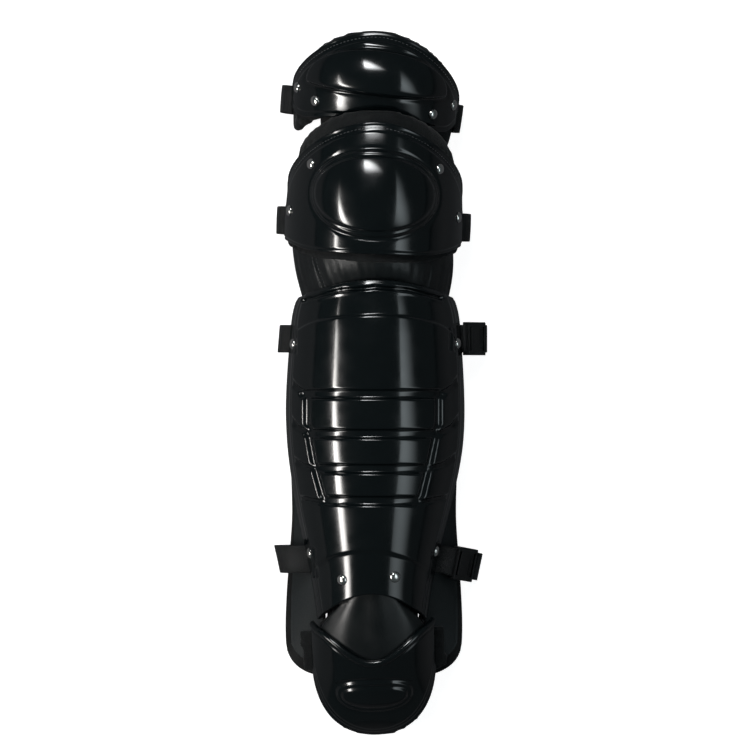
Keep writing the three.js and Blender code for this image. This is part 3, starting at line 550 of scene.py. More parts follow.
def shin_relief(x, y, q):
    half = section(FORMS["shin"], y)[0]
    side = half * (1 - np.abs(outward(FORMS["shin"], q)))
    base = 0.7 * ramp(side, 3.0, 4.4) + 1.0 * ramp(side, 6.0, 8.0)
    inside = ramp(side, 6.4, 8.4)
    raised = ramp(eased_line(UPPER_STEP, x) - y, -0.2, 2.2) * ramp(y - eased_line(LOWER_STEP, x), -1.0, 3.4)
    height = base + 1.9 * raised * inside
    cut = np.zeros(x.shape)
    for points in SHIN_VALLEYS:
        cut = np.maximum(cut, groove(points, 3.9, x, y, 1.5))
    for points in SHIN_CREASES:
        cut = np.maximum(cut, 0.85 * groove(points, 1.7, x, y, 1.3))
    for points in RIB_ENDS:
        cut = np.maximum(cut, 0.95 * groove(points, 2.3, x, y, 1.3))
    height -= 3.3 * cut * inside
    for points in SHIN_SLITS:
        height -= 1.3 * groove(points, 1.1, x, y, 0.7)
    height -= 3.6 * groove(SLOT, 1.6, x, y, 0.7)
    lip = [(px, py - 3.6) for px, py in SLOT]
    height += 0.6 * groove(lip, 1.0, x, y, 0.9)
    return height + 0.6 * ramp(rim_gap("shin", q, y), 1.6, 3.0)


def foot_relief(x, y, q):
    top, bottom = rim_gap("foot", q, y), rim_gap("foot", q, y, True)
    flange = ramp(bottom, 3.6, 5.2)
    bead = 1.5 * np.clip(1 - ((top - 2.3) / 2.4) ** 2, 0, 1) ** 0.5
    second = 0.6 * ramp(bottom, 7.4, 9.0) * ramp(top, 5.0, 7.5)
    outer = dome(x, y + 5.3, 33.6, 17.3, 17.3, 2.3, 1.6, 0.6, 2.4)
    inner = dome(x, y + 5.3, 28.4, 11.5, 11.5, 2.3, 0.8, 1.2, 1.6)
    return 0.7 * flange + bead + second + outer + inner


RELIEFS = {"thigh": thigh_relief, "knee": knee_relief, "shin": shin_relief, "foot": foot_relief}
print("pressed lines of the shin:", len(SHIN_VALLEYS + SHIN_CREASES + RIB_ENDS + SHIN_SLITS))


def surface(name, q, y, over=0.0):
    form = FORMS[name]
    plain = spot(form, q, y)
    height = RELIEFS[name](plain[..., 0], plain[..., 1], q)
    return seated(form, plain + normal(form, q, y) * (height + over)[..., None])


# %% [markdown]
# ## The four shells
# Each shell is the bent surface with its relief on the front and a plain back, three millimetres apart.
# The grid is fine enough to carry the narrow creases without a texture.

# %% Shells
SHELL_GRID = {"thigh": (100, 140), "knee": (130, 160), "shin": (290, 160), "foot": (110, 120)}
shells = {}
for name, (rows, columns) in SHELL_GRID.items():
    form = FORMS[name]
    s, q = np.meshgrid(np.linspace(0, 1, rows), np.linspace(-1, 1, columns), indexing="ij")
    y = row(name, q, s)
    front = surface(name, q, y)
    back = seated(form, spot(form, q, y) - normal(form, q, y) * SHELL_WALL)
    shells[name] = walled("moulded_" + name + "_shell", front, back, 0.9, [GLOSS])
    finish_piece(shells[name], "glossy_shell", name + "_shell")

# %% [markdown]
# ## The pads
# Foam under knitted mesh cloth is soft: it swells a little wherever no shell presses on it. A short cloth
# simulation with air pressure gives that swelling. Each pad starts a little slim, is remeshed evenly, and
# is blown up for twenty frames. How far a point may move is capped, and nothing moves under the shell.

# %% Swelling
VOXEL = 4.2
AIR, FRAMES = 4, 20


def swell(pad, cap, covered):
    remesh = pad.modifiers.new("even", "REMESH")
    remesh.mode = "VOXEL"
    remesh.voxel_size = VOXEL * MM
    bpy.context.view_layer.objects.active = pad
    bpy.ops.object.modifier_apply(modifier="even")
    rest = np.empty(len(pad.data.vertices) * 3)
    pad.data.vertices.foreach_get("co", rest)
    rest = rest.reshape(-1, 3)
    cloth = pad.modifiers.new("air", "CLOTH")
    cloth.settings.use_pressure = True
    cloth.settings.uniform_pressure_force = AIR
    cloth.settings.effector_weights.gravity = 0
    cloth.settings.quality = 4
    for number in range(1, FRAMES + 1):
        bpy.context.scene.frame_set(number)
    blown = pad.evaluated_get(bpy.context.evaluated_depsgraph_get())
    moved = np.empty(len(blown.data.vertices) * 3)
    blown.data.vertices.foreach_get("co", moved)
    pad.modifiers.remove(cloth)
    bpy.context.scene.frame_set(1)
    move = moved.reshape(-1, 3) - rest
    far = np.linalg.norm(move, axis=1, keepdims=True) + 1e-9
    move *= np.minimum(1, cap * MM / far) * (1 - covered(rest / MM))[:, None]
    pad.data.vertices.foreach_set("co", (rest + move).ravel())
    print(f"{pad.name}: swelled up to {np.linalg.norm(move, axis=1).max() / MM:.1f} mm")
    smooth = pad.modifiers.new("round", "SUBSURF")
    smooth.levels = smooth.render_levels = 1
    bpy.ops.object.modifier_apply(modifier="round")
    pad.data.shade_smooth()


def unseated(form, points):
    turn, slope = math.radians(form["turn"]), math.radians(form["slope"])
    spin = np.array(Matrix.Rotation(slope, 3, "X") @ Matrix.Rotation(turn, 3, "Z"))
    return (points - np.array(form["place"], float) - ORIGIN) @ spin


def under_shell(name):
    form = FORMS[name]

    def covered(points):
        local = unseated(form, points)
        y = local[:, 1]
        half, _, edge, middle = section(form, y)
        out = (local[:, 0] - middle) / half
        q = across(form, out)
        inside = (np.abs(out) < 1.02) & (local[:, 2] > edge - 6)
        inside &= (y < rim(name, out, False) + 1.5) & (y > rim(name, out, True) - 1.5)
        depth = np.einsum("ij,ij->i", spot(form, q, y) - local, normal(form, q, y))
        return (inside & (depth < PAD_DEPTH + PAD_THICK[name] * 0.55)).astype(float)

    return covered


# %% Pads
# SKIRTS is how far a pad goes on past its shell's sides, SKIRT_SHOWN the share left inside its lip, and
# SIDE_COLUMNS the grid's share there. PAD_RIMS are the pads' own rims, LIP how far their edges bulge.
SKIRTS = {"thigh": 1, "knee": 1, "shin": 1, "foot": 0.3}
SKIRT_SHOWN = {"thigh": 0.93, "knee": 0.93, "shin": 0.93, "foot": 0.75}
SIDE_COLUMNS = {"thigh": 0.3, "knee": 0.3, "shin": 0.12, "foot": 0.3}
PAD_RIMS = {
    "thigh": (lambda out: -50 * bow(out, 2), lambda out: 5 * (1 - out * out) - 10 * out**4),
    "knee": (lambda out: -50 * bow(out, 2.3), RIMS["knee"][1]),
    "foot": RIMS["foot"],
}
LIP = {"thigh": 3.6, "knee": 3.6, "shin": 3.0, "foot": 2.6}
WING_TOP = 304 * (0.5 - 0.56)
pads = {}
for name, form in FORMS.items():
    length, thick = form["length"], PAD_THICK[name]
    s, t = np.meshgrid(np.linspace(0, 1, 90), np.linspace(-1, 1, 150), indexing="ij")
    shy = LIP[name] / length
    share = (-form["rise"] / length + shy) * (1 - s) + (1 + form["hem"] / length - shy) * s
    if name == "shin":
        bent = t * (1 + SIDE_COLUMNS[name])
        inner = np.clip(bent, -1, 1)
        extra = (bent - inner) / SIDE_COLUMNS[name]
        skirt = ramp(row(name, inner, share), WING_TOP, WING_TOP + 48)
        inner = inner * (1 - 0.1 * (1 - skirt))
        q = inner + extra * np.maximum(skirt, 0.02) * SKIRT_SHOWN[name]
        y = row(name, inner, share)
    else:
        reach = 1 + SKIRTS[name] * SKIRT_SHOWN[name]
        bent = t * (1 + SIDE_COLUMNS[name])
        inner = np.clip(bent, -1, 1)
        q = inner + (bent - inner) / SIDE_COLUMNS[name] * (reach - 1)
        top = length / 2 + form["rise"] - LIP[name] + PAD_RIMS[name][0](outward(form, q))
        bottom = -length / 2 - form["hem"] + LIP[name] + PAD_RIMS[name][1](outward(form, q))
        y = top * (1 - s) + bottom * s
    plain, facing = spot(form, q, y), normal(form, q, y)
    front = seated(form, plain - facing * (PAD_DEPTH + 0.5))
    back = seated(form, plain - facing * (PAD_DEPTH + thick - 0.5))
    pads[name] = walled("padded_" + name, front, back, LIP[name], [PADDING], loops=6)
    swell(pads[name], 2.6 if name != "foot" else 2.0, under_shell(name))
    finish_piece(pads[name], "mesh_padding", name + "_pad")

# %% [markdown]
# ## Leather between the shells
# A soft leather panel bridges the knee and the shin, and a leather tongue bridges the shin and the foot.
# Each tucks under its neighbours and bulges a little where it shows. A sheet through a few stations, with
# the stations joined by a smooth curve, gives both the tuck and the bulge. Its flat size is measured along
# its rows and columns, as the leather would be cut.

# %% Sheets through stations


def under(name, q, s, on, depth):
    form = FORMS[name]
    y = row(name, q, s + on / form["length"])
    return seated(form, spot(form, q, y) - normal(form, q, y) * depth)


def smooth_path(stations, count):
    keys = np.stack(stations)
    at = np.linspace(0, len(keys) - 1, count)
    k = np.clip(at.astype(int), 0, len(keys) - 2)
    t = (at - k)[:, None, None]
    p0, p1, p2, p3 = keys[np.maximum(k - 1, 0)], keys[k], keys[k + 1], keys[np.minimum(k + 2, len(keys) - 1)]
    start, end = (p2 - p0) / 2, (p3 - p1) / 2
    return p1 + t * (start + t * (3 * (p2 - p1) - 2 * start - end + t * (start + end - 2 * (p2 - p1))))


def grid_normal(points):
    down, side = np.gradient(points, axis=0), np.gradient(points, axis=1)
    found = np.cross(side, -down)
    return found / np.linalg.norm(found, axis=-1, keepdims=True)


def flat_size(points):
    wide = np.linalg.norm(np.diff(points, axis=1), axis=-1).sum(1).mean()
    long = np.linalg.norm(np.diff(points, axis=0), axis=-1).sum(0).mean()
    return wide * MM, long * MM


def sheet(name, points, thick, materials, lip=0.6, zone=None, lip_zone=0):
    uv_x = np.cumsum(np.pad(np.linalg.norm(np.diff(points, axis=1), axis=-1), ((0, 0), (1, 0))), axis=1)
    uv_y = np.cumsum(np.pad(np.linalg.norm(np.diff(points, axis=0), axis=-1), ((1, 0), (0, 0))), axis=0)
    back = points - grid_normal(points) * thick
    return walled(name, points, back, lip, materials, zone, lip_zone, np.stack([uv_x, uv_y], -1))


# %% The leather panel under the knee
LEATHER_THICK = 2.4
LINK_REACH, LINK_TUCK = 0.97, 12.6
KNEE_HIDDEN, KNEE_SINK = 5, 3
u = np.linspace(-1, 1, 120)
start = rim("knee", outward(FORMS["knee"], u), True) - FORMS["knee"]["hem"] + KNEE_HIDDEN
sunk = normal(FORMS["knee"], u, start) * (PAD_DEPTH + KNEE_SINK)
panel = smooth_path([
    seated(FORMS["knee"], spot(FORMS["knee"], u, start) - sunk),
    under("shin", u * LINK_REACH, 0, 0, PAD_DEPTH),
    under("shin", u * LINK_REACH, 0, LINK_TUCK, PAD_DEPTH),
], 60)
bulge = np.sin(np.pi * ramp(np.linspace(0, 1, 60), -0.1, 0.62))[:, None]
folds = 0.35 * np.sin(u * 37 + 1.3) + 0.25 * np.sin(u * 71)
seam = np.exp(-(((u + 0.63) / 0.012) ** 2)) + np.exp(-(((u - 0.62) / 0.012) ** 2))
puff = 2.4 * bulge + folds[None, :] * bulge * 0.6 - 0.9 * seam[None, :] * bulge
panel = panel + grid_normal(panel) * puff[..., None]
link_panel = sheet("leather_link_panel", panel, LEATHER_THICK, [LEATHER])
finish_piece(link_panel, "leather", "link_panel")
print("link panel cut:", [round(v, 3) for v in flat_size(panel)])

# %% The tongue over the ankle
TONGUE_TUCK = 9
u = np.linspace(-1, 1, 90)
tongue = smooth_path([
    under("shin", u * 0.45, 1, -TONGUE_TUCK, PAD_DEPTH),
    under("shin", u * 0.45, 1, 0, PAD_DEPTH),
    under("foot", u * 0.8, 0, 0, PAD_DEPTH),
    under("foot", u * 0.8, 0, TONGUE_TUCK, PAD_DEPTH),
], 60)
crumple = 0.5 * np.sin(u * 9 + 0.6) * ramp(1 - np.abs(u), 0, 0.3)
bulge = np.sin(np.pi * ramp(np.linspace(0, 1, 60), 0.2, 0.8))[:, None]
tongue = tongue + grid_normal(tongue) * (bulge * (1.2 + crumple[None, :]))[..., None]
ankle_tongue = sheet("leather_ankle_tongue", tongue, LEATHER_THICK, [LEATHER])
finish_piece(ankle_tongue, "leather", "ankle_tongue")
print("tongue cut:", [round(v, 3) for v in flat_size(tongue)])

# %% [markdown]
# ## The ankle gusset
# Behind the tongue a wider sheet of mesh cloth closes the ankle, so that nothing shows between the leather
# and the shells. It is gathered a little, which a shallow wave across the sheet gives.

# %% The gusset
behind_tongue = PAD_DEPTH + LEATHER_THICK + 1.2
u = np.linspace(-1, 1, 100)
gusset = smooth_path([
    under("shin", u * 0.95, 1, -12, behind_tongue),
    under("shin", u * 0.97, 1, 0, behind_tongue),
    under("foot", u * 0.98, 0, 0, behind_tongue),
    under("foot", u * 0.96, 0, TONGUE_TUCK, behind_tongue),
], 60)
gusset = gusset + grid_normal(gusset) * (0.5 * np.sin(u * 58))[None, :, None]
ankle_gusset = sheet("mesh_ankle_gusset", gusset, 1.8, [PADDING])
finish_piece(ankle_gusset, "mesh_padding", "ankle_gusset")
print("gusset cut:", [round(v, 3) for v in flat_size(gusset)])

# %% [markdown]
# ## The wings
# The wings are stiff foam in a coated cloth, with a woven tape folded over the edge and sewn down. One
# grid makes the wing. Its faces within the tape's reach of the edge take the tape's material, and stand
# proud of the cloth by the tape's thickness.

# %% Wings
WING_LENGTH, WING_REACH, WING_RIM, WING_CORNER = 184, 81, 9, 27
# Rows down the wing: share of its length, then shares of its reach and of its rim's height.
WING_ROWS = [
    (0, 0.935, 1.9), (0.22, 0.925, 1.3), (0.4, 0.95, 1),
    (0.6, 0.985, 0.9), (0.8, 1, 0.9), (1, 0.97, 0.9),
]
WING_WIDTH, WING_THICK = 42, 4.4
TAPE_SIDE, TAPE_FOOT, TAPE_PROUD = 5.0, 10.0, 0.7


def wing_points(side, reach, v, y):
    share = (WING_TOP - y) / WING_LENGTH
    half, _, edge, middle = section(FORMS["shin"], y)
    inner = middle * side + half - SHELL_WALL - 1.5
    table = {"rows": [(at, out, low, 0, 0) for at, out, low in WING_ROWS]}
    outer = np.maximum(WING_REACH * reach * column(table, 1, share), inner + SHELL_WALL)
    foot = ramp(share, 0.55, 1)
    high = (edge - 0.6) * (1 - foot) + edge * 0.35 * foot
    low = WING_RIM * column(table, 2, share)
    belly = 5 * np.sin(np.pi * v) * share
    return np.stack([side * (inner * (1 - v) + outer * v), y, high * (1 - v) + low * v + belly], -1)


for side, label, reach in ((-1, "left", 1.0), (1, "right", 0.965)):
    s, t = np.meshgrid(np.linspace(0, 1, 230), np.linspace(0, 1, 46), indexing="ij")
    v = t if side > 0 else 1 - t
    bottom = WING_TOP - WING_LENGTH + WING_CORNER * bow(v, 2.2)
    y = WING_TOP * (1 - s) + bottom * s
    points = seated(FORMS["shin"], wing_points(side, reach, v, y))
    step = 1e-2
    lean = (WING_CORNER * (bow(np.minimum(v + step, 1), 2.2) - bow(v - step, 2.2))) / (2 * step * 40)
    foot_gap = (y - bottom) / np.sqrt(1 + lean**2)
    side_gap = (1 - v) * WING_WIDTH
    edge_gap = np.minimum(side_gap / TAPE_SIDE, foot_gap / TAPE_FOOT)
    points = points + grid_normal(points) * (TAPE_PROUD * (1 - ramp(edge_gap, 0.92, 1.02)))[..., None]
    zone = (edge_gap[:-1, :-1] < 0.97).astype(int)
    wing = sheet("sewn_wing_" + label, points, WING_THICK, [COATED, TAPE], 1.6, zone, 1)
    finish_piece(wing, "coated_cloth", "wing_" + label)

# %% [markdown]
# ## Webbing
# Straps are woven flat and keep their width, so they are modelled directly: a path in the section of the
# shell that they are riveted to, swept over the strap's width. The twill follows the strap because its
# pattern reads the strap's own length and width in the UV map.

# %% Strap paths
WEB_WIDTH, WEB_THICK, TURN, BUCKLE_LENGTH, BUCKLE_THICK = 24, 2, 11, 36, 7
FLOOR = WEB_THICK / 2
# left and right are how far a loop stands out beyond its shell. A buckled strap's right side runs
# near, then the buckle over span, then curl outwards. slant is how far that end turns down the leg.
STRAPS = [
    {"name": "thigh_strap", "on": "thigh", "at": 0.8, "left": 9, "right": 4, "slant": 0},
    {"name": "knee_strap", "on": "knee", "at": 0.76, "left": 7, "right": 7, "slant": 0},
    {"name": "shin_strap", "on": "shin", "at": 0.17, "left": 10, "slant": 0,
     "near": 5, "span": 16, "curl": 2, "buckle": "shin_buckle"},
    {"name": "ankle_strap", "on": "shin", "at": 0.825, "left": 30, "slant": 12,
     "near": 13, "span": 18, "curl": 6, "buckle": "ankle_buckle"},
]


def bend(points, count=16):
    t = np.linspace(0, 1, count)[:, None]
    a, b, c, d = (np.array(p, float) for p in points)
    return a * (1 - t) ** 3 + 3 * b * t * (1 - t) ** 2 + 3 * c * t * t * (1 - t) + d * t**3


def stations(strap, y):
    form = FORMS[strap["on"]]
    half, _, edge, middle = (float(v) for v in section(form, np.array(y)))
    hub = float(section(form, np.array(form["length"] * (0.5 - strap["at"])))[0])
    span = strap.get("span", 0)
    low = np.array([hub + strap.get("near", 0) + span, FLOOR + BUCKLE_THICK])
    high = np.array([hub + strap.get("near", 0), low[1] + math.sqrt(BUCKLE_LENGTH**2 - span**2)])
    return half, middle, half - 0.3 - WEB_THICK / 2, edge - 2, low, high


def loop_path(strap, y):
    half, middle, seat, top, low, high = stations(strap, y)
    left = half + strap["left"]
    turn = min(TURN, strap["left"] + WEB_THICK)
    shoulder = (-seat - strap["left"] / 2, top - 1)
    path = [bend([(middle - seat, top), shoulder, (-left, top - 2), (-left, top / 2)]),
            bend([(-left, top / 2), (-left, top / 5), (turn / 2 - left, FLOOR), (turn - left, FLOOR)])]
    if "buckle" in strap:
        down = (low - high) / np.linalg.norm(low - high)
        end = low + down * (0.6 + WEB_THICK / 2)
        lead = end + down * 1.5 * WEB_THICK + np.array([strap["curl"], 0])
        path.append(bend([(end[0] - TURN, FLOOR), (lead[0], FLOOR), tuple(lead), tuple(end)]))
    else:
        right = half + strap["right"]
        turn = min(TURN, strap["right"] + WEB_THICK)
        shoulder = (seat + strap["right"] / 2, top - 1)
        half_way = (right, top / 2)
        path.append(bend([(right - turn, FLOOR), (right - turn / 2, FLOOR), (right, top / 5), half_way]))
        path.append(bend([half_way, (right, top - 2), shoulder, (middle + seat, top)]))
    gap = np.linspace(path[1][-1], path[2][0], 30)[1:-1]
    return np.concatenate([path[0], path[1][1:], gap] + path[2:])


def upper_path(strap, y):
    half, middle, seat, top, low, high = stations(strap, y)
    down = (low - high) / np.linalg.norm(low - high)
    end = high - down * 0.6
    lead = end - down * 2 * WEB_THICK
    return bend([(middle + seat, top), (seat + strap["near"] / 3, top - 1), tuple(lead), tuple(end)], 24)


def ribbon(name, strap, path):
    form = FORMS[strap["on"]]
    middle_y = form["length"] * (0.5 - strap["at"])
    pivot = float(section(form, np.array(middle_y))[0])
    lines = []
    for up in np.linspace(WEB_WIDTH / 2, -WEB_WIDTH / 2, 13):
        line = path(strap, middle_y + up)
        along = np.gradient(line, axis=0)
        along /= np.linalg.norm(along, axis=1, keepdims=True)
        off = np.stack([along[:, 1], -along[:, 0]], 1) * (WEB_THICK / 2)
        pair = []
        for flat in (line - off, line + off):
            side = np.sign(flat[:, 0])
            turn = -math.radians(strap["slant"]) * (side > 0) * ramp(np.abs(flat[:, 0]), pivot, pivot + TURN)
            x = flat[:, 0] - side * pivot
            pair.append(np.stack([side * pivot + x * np.cos(turn) - up * np.sin(turn),
                                  middle_y + x * np.sin(turn) + up * np.cos(turn), flat[:, 1]], 1))
        lines.append(pair)
    front = seated(form, np.stack([pair[0] for pair in lines]))
    back = seated(form, np.stack([pair[1] for pair in lines]))
    run = np.cumsum(np.pad(np.linalg.norm(np.diff(front, axis=1), axis=-1), ((0, 0), (1, 0))), axis=1)
    wide = np.broadcast_to(np.linspace(0, WEB_WIDTH, 13)[:, None], run.shape)
    uv = np.stack([np.broadcast_to(run[6], run.shape), wide], -1)
    return walled(name, front, back, 0.5, [WEBBING], uv=uv)


def outward_faces(piece):
    shape = bmesh.new()
    shape.from_mesh(piece.data)
    if shape.calc_volume(signed=True) < 0:
        bmesh.ops.reverse_faces(shape, faces=shape.faces)
    shape.to_mesh(piece.data)
    shape.free()


for strap in STRAPS:
    loop = ribbon("woven_" + strap["name"], strap, loop_path)
    outward_faces(loop)
    finish_piece(loop, "webbing", strap["name"])
    if "buckle" in strap:
        end = ribbon("woven_" + strap["name"] + "_end", strap, upper_path)
        outward_faces(end)
        finish_piece(end, "webbing", strap["name"] + "_end")

# %% [markdown]
# ## Webbing between the thigh and the knee
# Two short bands hold the thigh's shell to the knee's. They run behind the pads, so only their edges show.
# Three stations are enough for each: behind the thigh pad, at its lower edge, and behind the knee pad.

# %% Two short bands
behind_pad = PAD_DEPTH + PAD_THICK["thigh"] + 1.2
for label, out in (("left", -0.62), ("right", 0.64)):
    u = np.linspace(-1, 1, 13)
    thigh_q = across(FORMS["thigh"], out + u * WEB_WIDTH / 150)
    knee_q = across(FORMS["knee"], out + u * WEB_WIDTH / 160)
    points = smooth_path([
        under("thigh", thigh_q, 1, -24, behind_pad),
        under("thigh", thigh_q, 1, 8, behind_pad),
        under("knee", knee_q, 0, 12, behind_pad),
    ], 50)
    link = sheet("woven_link_" + label, points, 2, [WEBBING], 0.5)
    finish_piece(link, "webbing", "link_strap_" + label)

# %% [markdown]
# ## Buckles
# Side-release buckles hold the two buckled straps. Each is a flat socket with a window on each side, a
# plug with two springy prongs, and a bar that the webbing folds over. Bevelled boxes joined in
# place give the moulded look, because a moulded edge is never sharp.

# %% Buckles


def block(shape, x0, x1, y0, y1, z0, z1):
    low, high = Vector((x0, y0, z0)), Vector((x1, y1, z1))
    for v in bmesh.ops.create_cube(shape, size=1)["verts"]:
        v.co = (low + high) / 2 + Matrix.Diagonal(high - low) @ v.co


# A buckle's blocks, each from and to along it, across it and through it. The middle is at the origin.
SOCKET_BLOCKS = [
    (-18, -16, -15, 15, -3.5, 3.5), (-12, 4, -15, -13, -3.5, 3.5), (-12, 4, 13, 15, -3.5, 3.5),
    (-17, -11, -15, -11, -3.5, 3.5), (-17, -11, 11, 15, -3.5, 3.5), (-12.5, -9, -15, 15, -3.5, 3.5),
    (-10, 4, -14, 14, 1.5, 3.5), (-10, 4, -14, 14, -3.5, -1.5),
]
PLUG_BLOCKS = [
    (4.3, 12, -15, 15, -2.5, 2.5), (11, 16, -15, -11, -2.5, 2.5), (11, 16, 11, 15, -2.5, 2.5),
    (15.6, 18, -15, 15, -2.5, 2.5),
    (-6, 8, -12.6, -8.8, -1.2, 1.2), (-6, 8, 8.8, 12.6, -1.2, 1.2), (-6, 8, -3, 3, -1.2, 1.2),
]
RELEASE_RIBS = [(5.2 + 1.5 * k, 6.0 + 1.5 * k, -9, 9, 2.3, 3.0) for k in range(4)]
for strap in STRAPS:
    if "buckle" not in strap:
        continue
    form = FORMS[strap["on"]]
    y = form["length"] * (0.5 - strap["at"])
    half, _, _, _, low, high = stations(strap, y)
    centre, down = (low + high) / 2, low - high
    lean = math.atan2(-down[1], down[0])
    place = (Matrix.Translation((half, y, 0)) @ Matrix.Rotation(-math.radians(strap["slant"]), 4, "Z")
             @ Matrix.Translation((centre[0] - half, 0, centre[1])) @ Matrix.Rotation(lean, 4, "Y"))
    for part_name, blocks in (("socket", SOCKET_BLOCKS), ("plug", PLUG_BLOCKS + RELEASE_RIBS)):
        joined = None
        for k, sizes in enumerate(blocks):
            shape = bmesh.new()
            block(shape, *sizes)
            smallest = min(sizes[1] - sizes[0], sizes[3] - sizes[2], sizes[5] - sizes[4])
            round_by = min(0.7, smallest * 0.3)
            edges = shape.edges[:]
            bmesh.ops.bevel(shape, geom=edges, offset=round_by, segments=2, affect="EDGES", profile=0.5)
            data = bpy.data.meshes.new("block")
            shape.to_mesh(data)
            shape.free()
            one = bpy.data.objects.new("block", data)
            bpy.context.scene.collection.objects.link(one)
            if joined is None:
                joined = one
                continue
            union = joined.modifiers.new("join", "BOOLEAN")
            union.operation, union.solver, union.object = "UNION", "EXACT", one
            bpy.context.view_layer.objects.active = joined
            bpy.ops.object.modifier_apply(modifier="join")
            bpy.data.objects.remove(one)
        joined.name = "side_release_" + strap["name"].split("_")[0] + "_" + part_name
        local = np.array([v.co for v in joined.data.vertices])
        local = np.array([place @ Vector(p) for p in local])
        joined.data.vertices.foreach_set("co", (seated(form, local) * MM).ravel())
        joined.data.materials.clear()
        joined.data.materials.append(MOULDED)
        joined.data.shade_flat()
        finish_piece(joined, "moulded_plastic", strap["buckle"] + "_" + part_name)

# %% [markdown]
# ## Rivets
# Fourteen nickel heads fasten the straps and linings. They are alike, so one head is drawn and Geometry
# Nodes sets a copy on each point, turned to the surface there. Real heads are domes with a thin brim.

# %% Rivet heads by Geometry Nodes
RIVET_RADIUS, RIVET_RISE = 5.0, 2.5
RIVETS = [
    ("thigh_rivet_left_outer", "thigh", 0.67, -0.93), ("thigh_rivet_left_inner", "thigh", 0.8, -0.7),
    ("thigh_rivet_right_inner", "thigh", 0.8, 0.7), ("thigh_rivet_right_outer", "thigh", 0.67, 0.93),
    ("knee_rivet_left_upper", "knee", 0.33, -0.74), ("knee_rivet_right_upper", "knee", 0.33, 0.73),
    ("knee_rivet_left_side", "knee", 0.69, -0.94), ("knee_rivet_right_side", "knee", 0.69, 0.94),
    ("shin_rivet_left_upper", "shin", 0.186, -0.957), ("shin_rivet_right_upper", "shin", 0.184, 0.945),
    ("shin_rivet_left_lower", "shin", 0.806, -0.945), ("shin_rivet_right_lower", "shin", 0.8, 0.945),
    ("shin_rivet_left_front", "shin", 0.881, -0.48), ("shin_rivet_right_front", "shin", 0.872, 0.35),
]


def lathe(name, profile, sides):
    points, faces = [], []
    for radius, height in profile:
        turns = np.arange(sides) * 2 * math.pi / sides
        points += [(radius * math.cos(a), radius * math.sin(a), height) for a in turns]
    for k in range(len(profile) - 1):
        for i in range(sides):
            j = (i + 1) % sides
            faces.append((k * sides + i, k * sides + j, (k + 1) * sides + j, (k + 1) * sides + i))
    faces.append(tuple(range(sides))[::-1])
    faces.append(tuple((len(profile) - 1) * sides + i for i in range(sides)))
    return mesh_object(name, points, faces, [])


def gn_tree(name, inputs):
    tree = bpy.data.node_groups.new(name, "GeometryNodeTree")
    tree.interface.new_socket("Geometry", in_out="INPUT", socket_type="NodeSocketGeometry")
    tree.interface.new_socket("Geometry", in_out="OUTPUT", socket_type="NodeSocketGeometry")
    for label, kind in inputs:
        tree.interface.new_socket(label, in_out="INPUT", socket_type=kind)
    return tree, tree.nodes.new("NodeGroupInput"), tree.nodes.new("NodeGroupOutput")


def ended(tree, geometry, material_socket, out):
    real = tree.nodes.new("GeometryNodeRealizeInstances")
    dress = tree.nodes.new("GeometryNodeSetMaterial")
    smooth = tree.nodes.new("GeometryNodeSetShadeSmooth")
    tree.links.new(geometry, real.inputs[0])
    tree.links.new(real.outputs[0], smooth.inputs[0])
    tree.links.new(smooth.outputs[0], dress.inputs["Geometry"])
    tree.links.new(material_socket, dress.inputs["Material"])
    tree.links.new(dress.outputs[0], out.inputs[0])


def baked(name, holder, tree, values):
    bpy.context.scene.collection.objects.link(holder)
    modifier = holder.modifiers.new("nodes", "NODES")
    modifier.node_group = tree
    for item in tree.interface.items_tree:
        if item.in_out == "INPUT" and item.name in values:
            modifier[item.identifier] = values[item.name]
    graph = bpy.context.evaluated_depsgraph_get()
    done = holder.evaluated_get(graph)
    mesh = bpy.data.meshes.new_from_object(done, preserve_all_data_layers=True, depsgraph=graph)
    bpy.data.objects.remove(holder)
    made = bpy.data.objects.new(name, mesh)
    bpy.context.scene.collection.objects.link(made)
    return made


def rivet_tree():
    inputs = [("Head", "NodeSocketObject"), ("Finish", "NodeSocketMaterial")]
    tree, into, out = gn_tree("Set a head on each point", inputs)
    head = tree.nodes.new("GeometryNodeObjectInfo")
    copies = tree.nodes.new("GeometryNodeInstanceOnPoints")
    facing = tree.nodes.new("GeometryNodeInputNamedAttribute")
    facing.data_type = "FLOAT_VECTOR"
    facing.inputs["Name"].default_value = "facing"
    align = tree.nodes.new("FunctionNodeAlignRotationToVector")
    align.axis = "Z"
    tree.links.new(into.outputs["Head"], head.inputs["Object"])
    tree.links.new(into.outputs["Geometry"], copies.inputs["Points"])
    tree.links.new(head.outputs["Geometry"], copies.inputs["Instance"])
    tree.links.new(facing.outputs["Attribute"], align.inputs["Vector"])
    tree.links.new(align.outputs["Rotation"], copies.inputs["Rotation"])
    ended(tree, copies.outputs[0], into.outputs["Finish"], out)
    return tree


BRIM, DOME_FROM, DOME_SHARE = 0.35, 0.6, 0.9
profile = [(RIVET_RADIUS, 0), (RIVET_RADIUS, BRIM)]
for a in np.linspace(0.12, 1.45, 8):
    height = DOME_FROM + (RIVET_RISE - DOME_FROM) * math.sin(a)
    profile.append((RIVET_RADIUS * DOME_SHARE * math.cos(a), height))
head = lathe("rivet head", profile, 28)
places, facings = [], []
for _, name, at, out in RIVETS:
    form = FORMS[name]
    q, y = np.array([across(form, out)]), np.array([form["length"] * (0.5 - at)])
    base = surface(name, q, y, 0.15)[0]
    ahead = seated(form, spot(form, q, y) + normal(form, q, y))[0] - seated(form, spot(form, q, y))[0]
    places.append(base)
    facings.append(ahead / np.linalg.norm(ahead))
points_mesh = bpy.data.meshes.new("rivet places")
points_mesh.from_pydata((np.array(places) * MM).tolist(), [], [])
ways = points_mesh.attributes.new("facing", "FLOAT_VECTOR", "POINT")
ways.data.foreach_set("vector", np.array(facings).ravel())
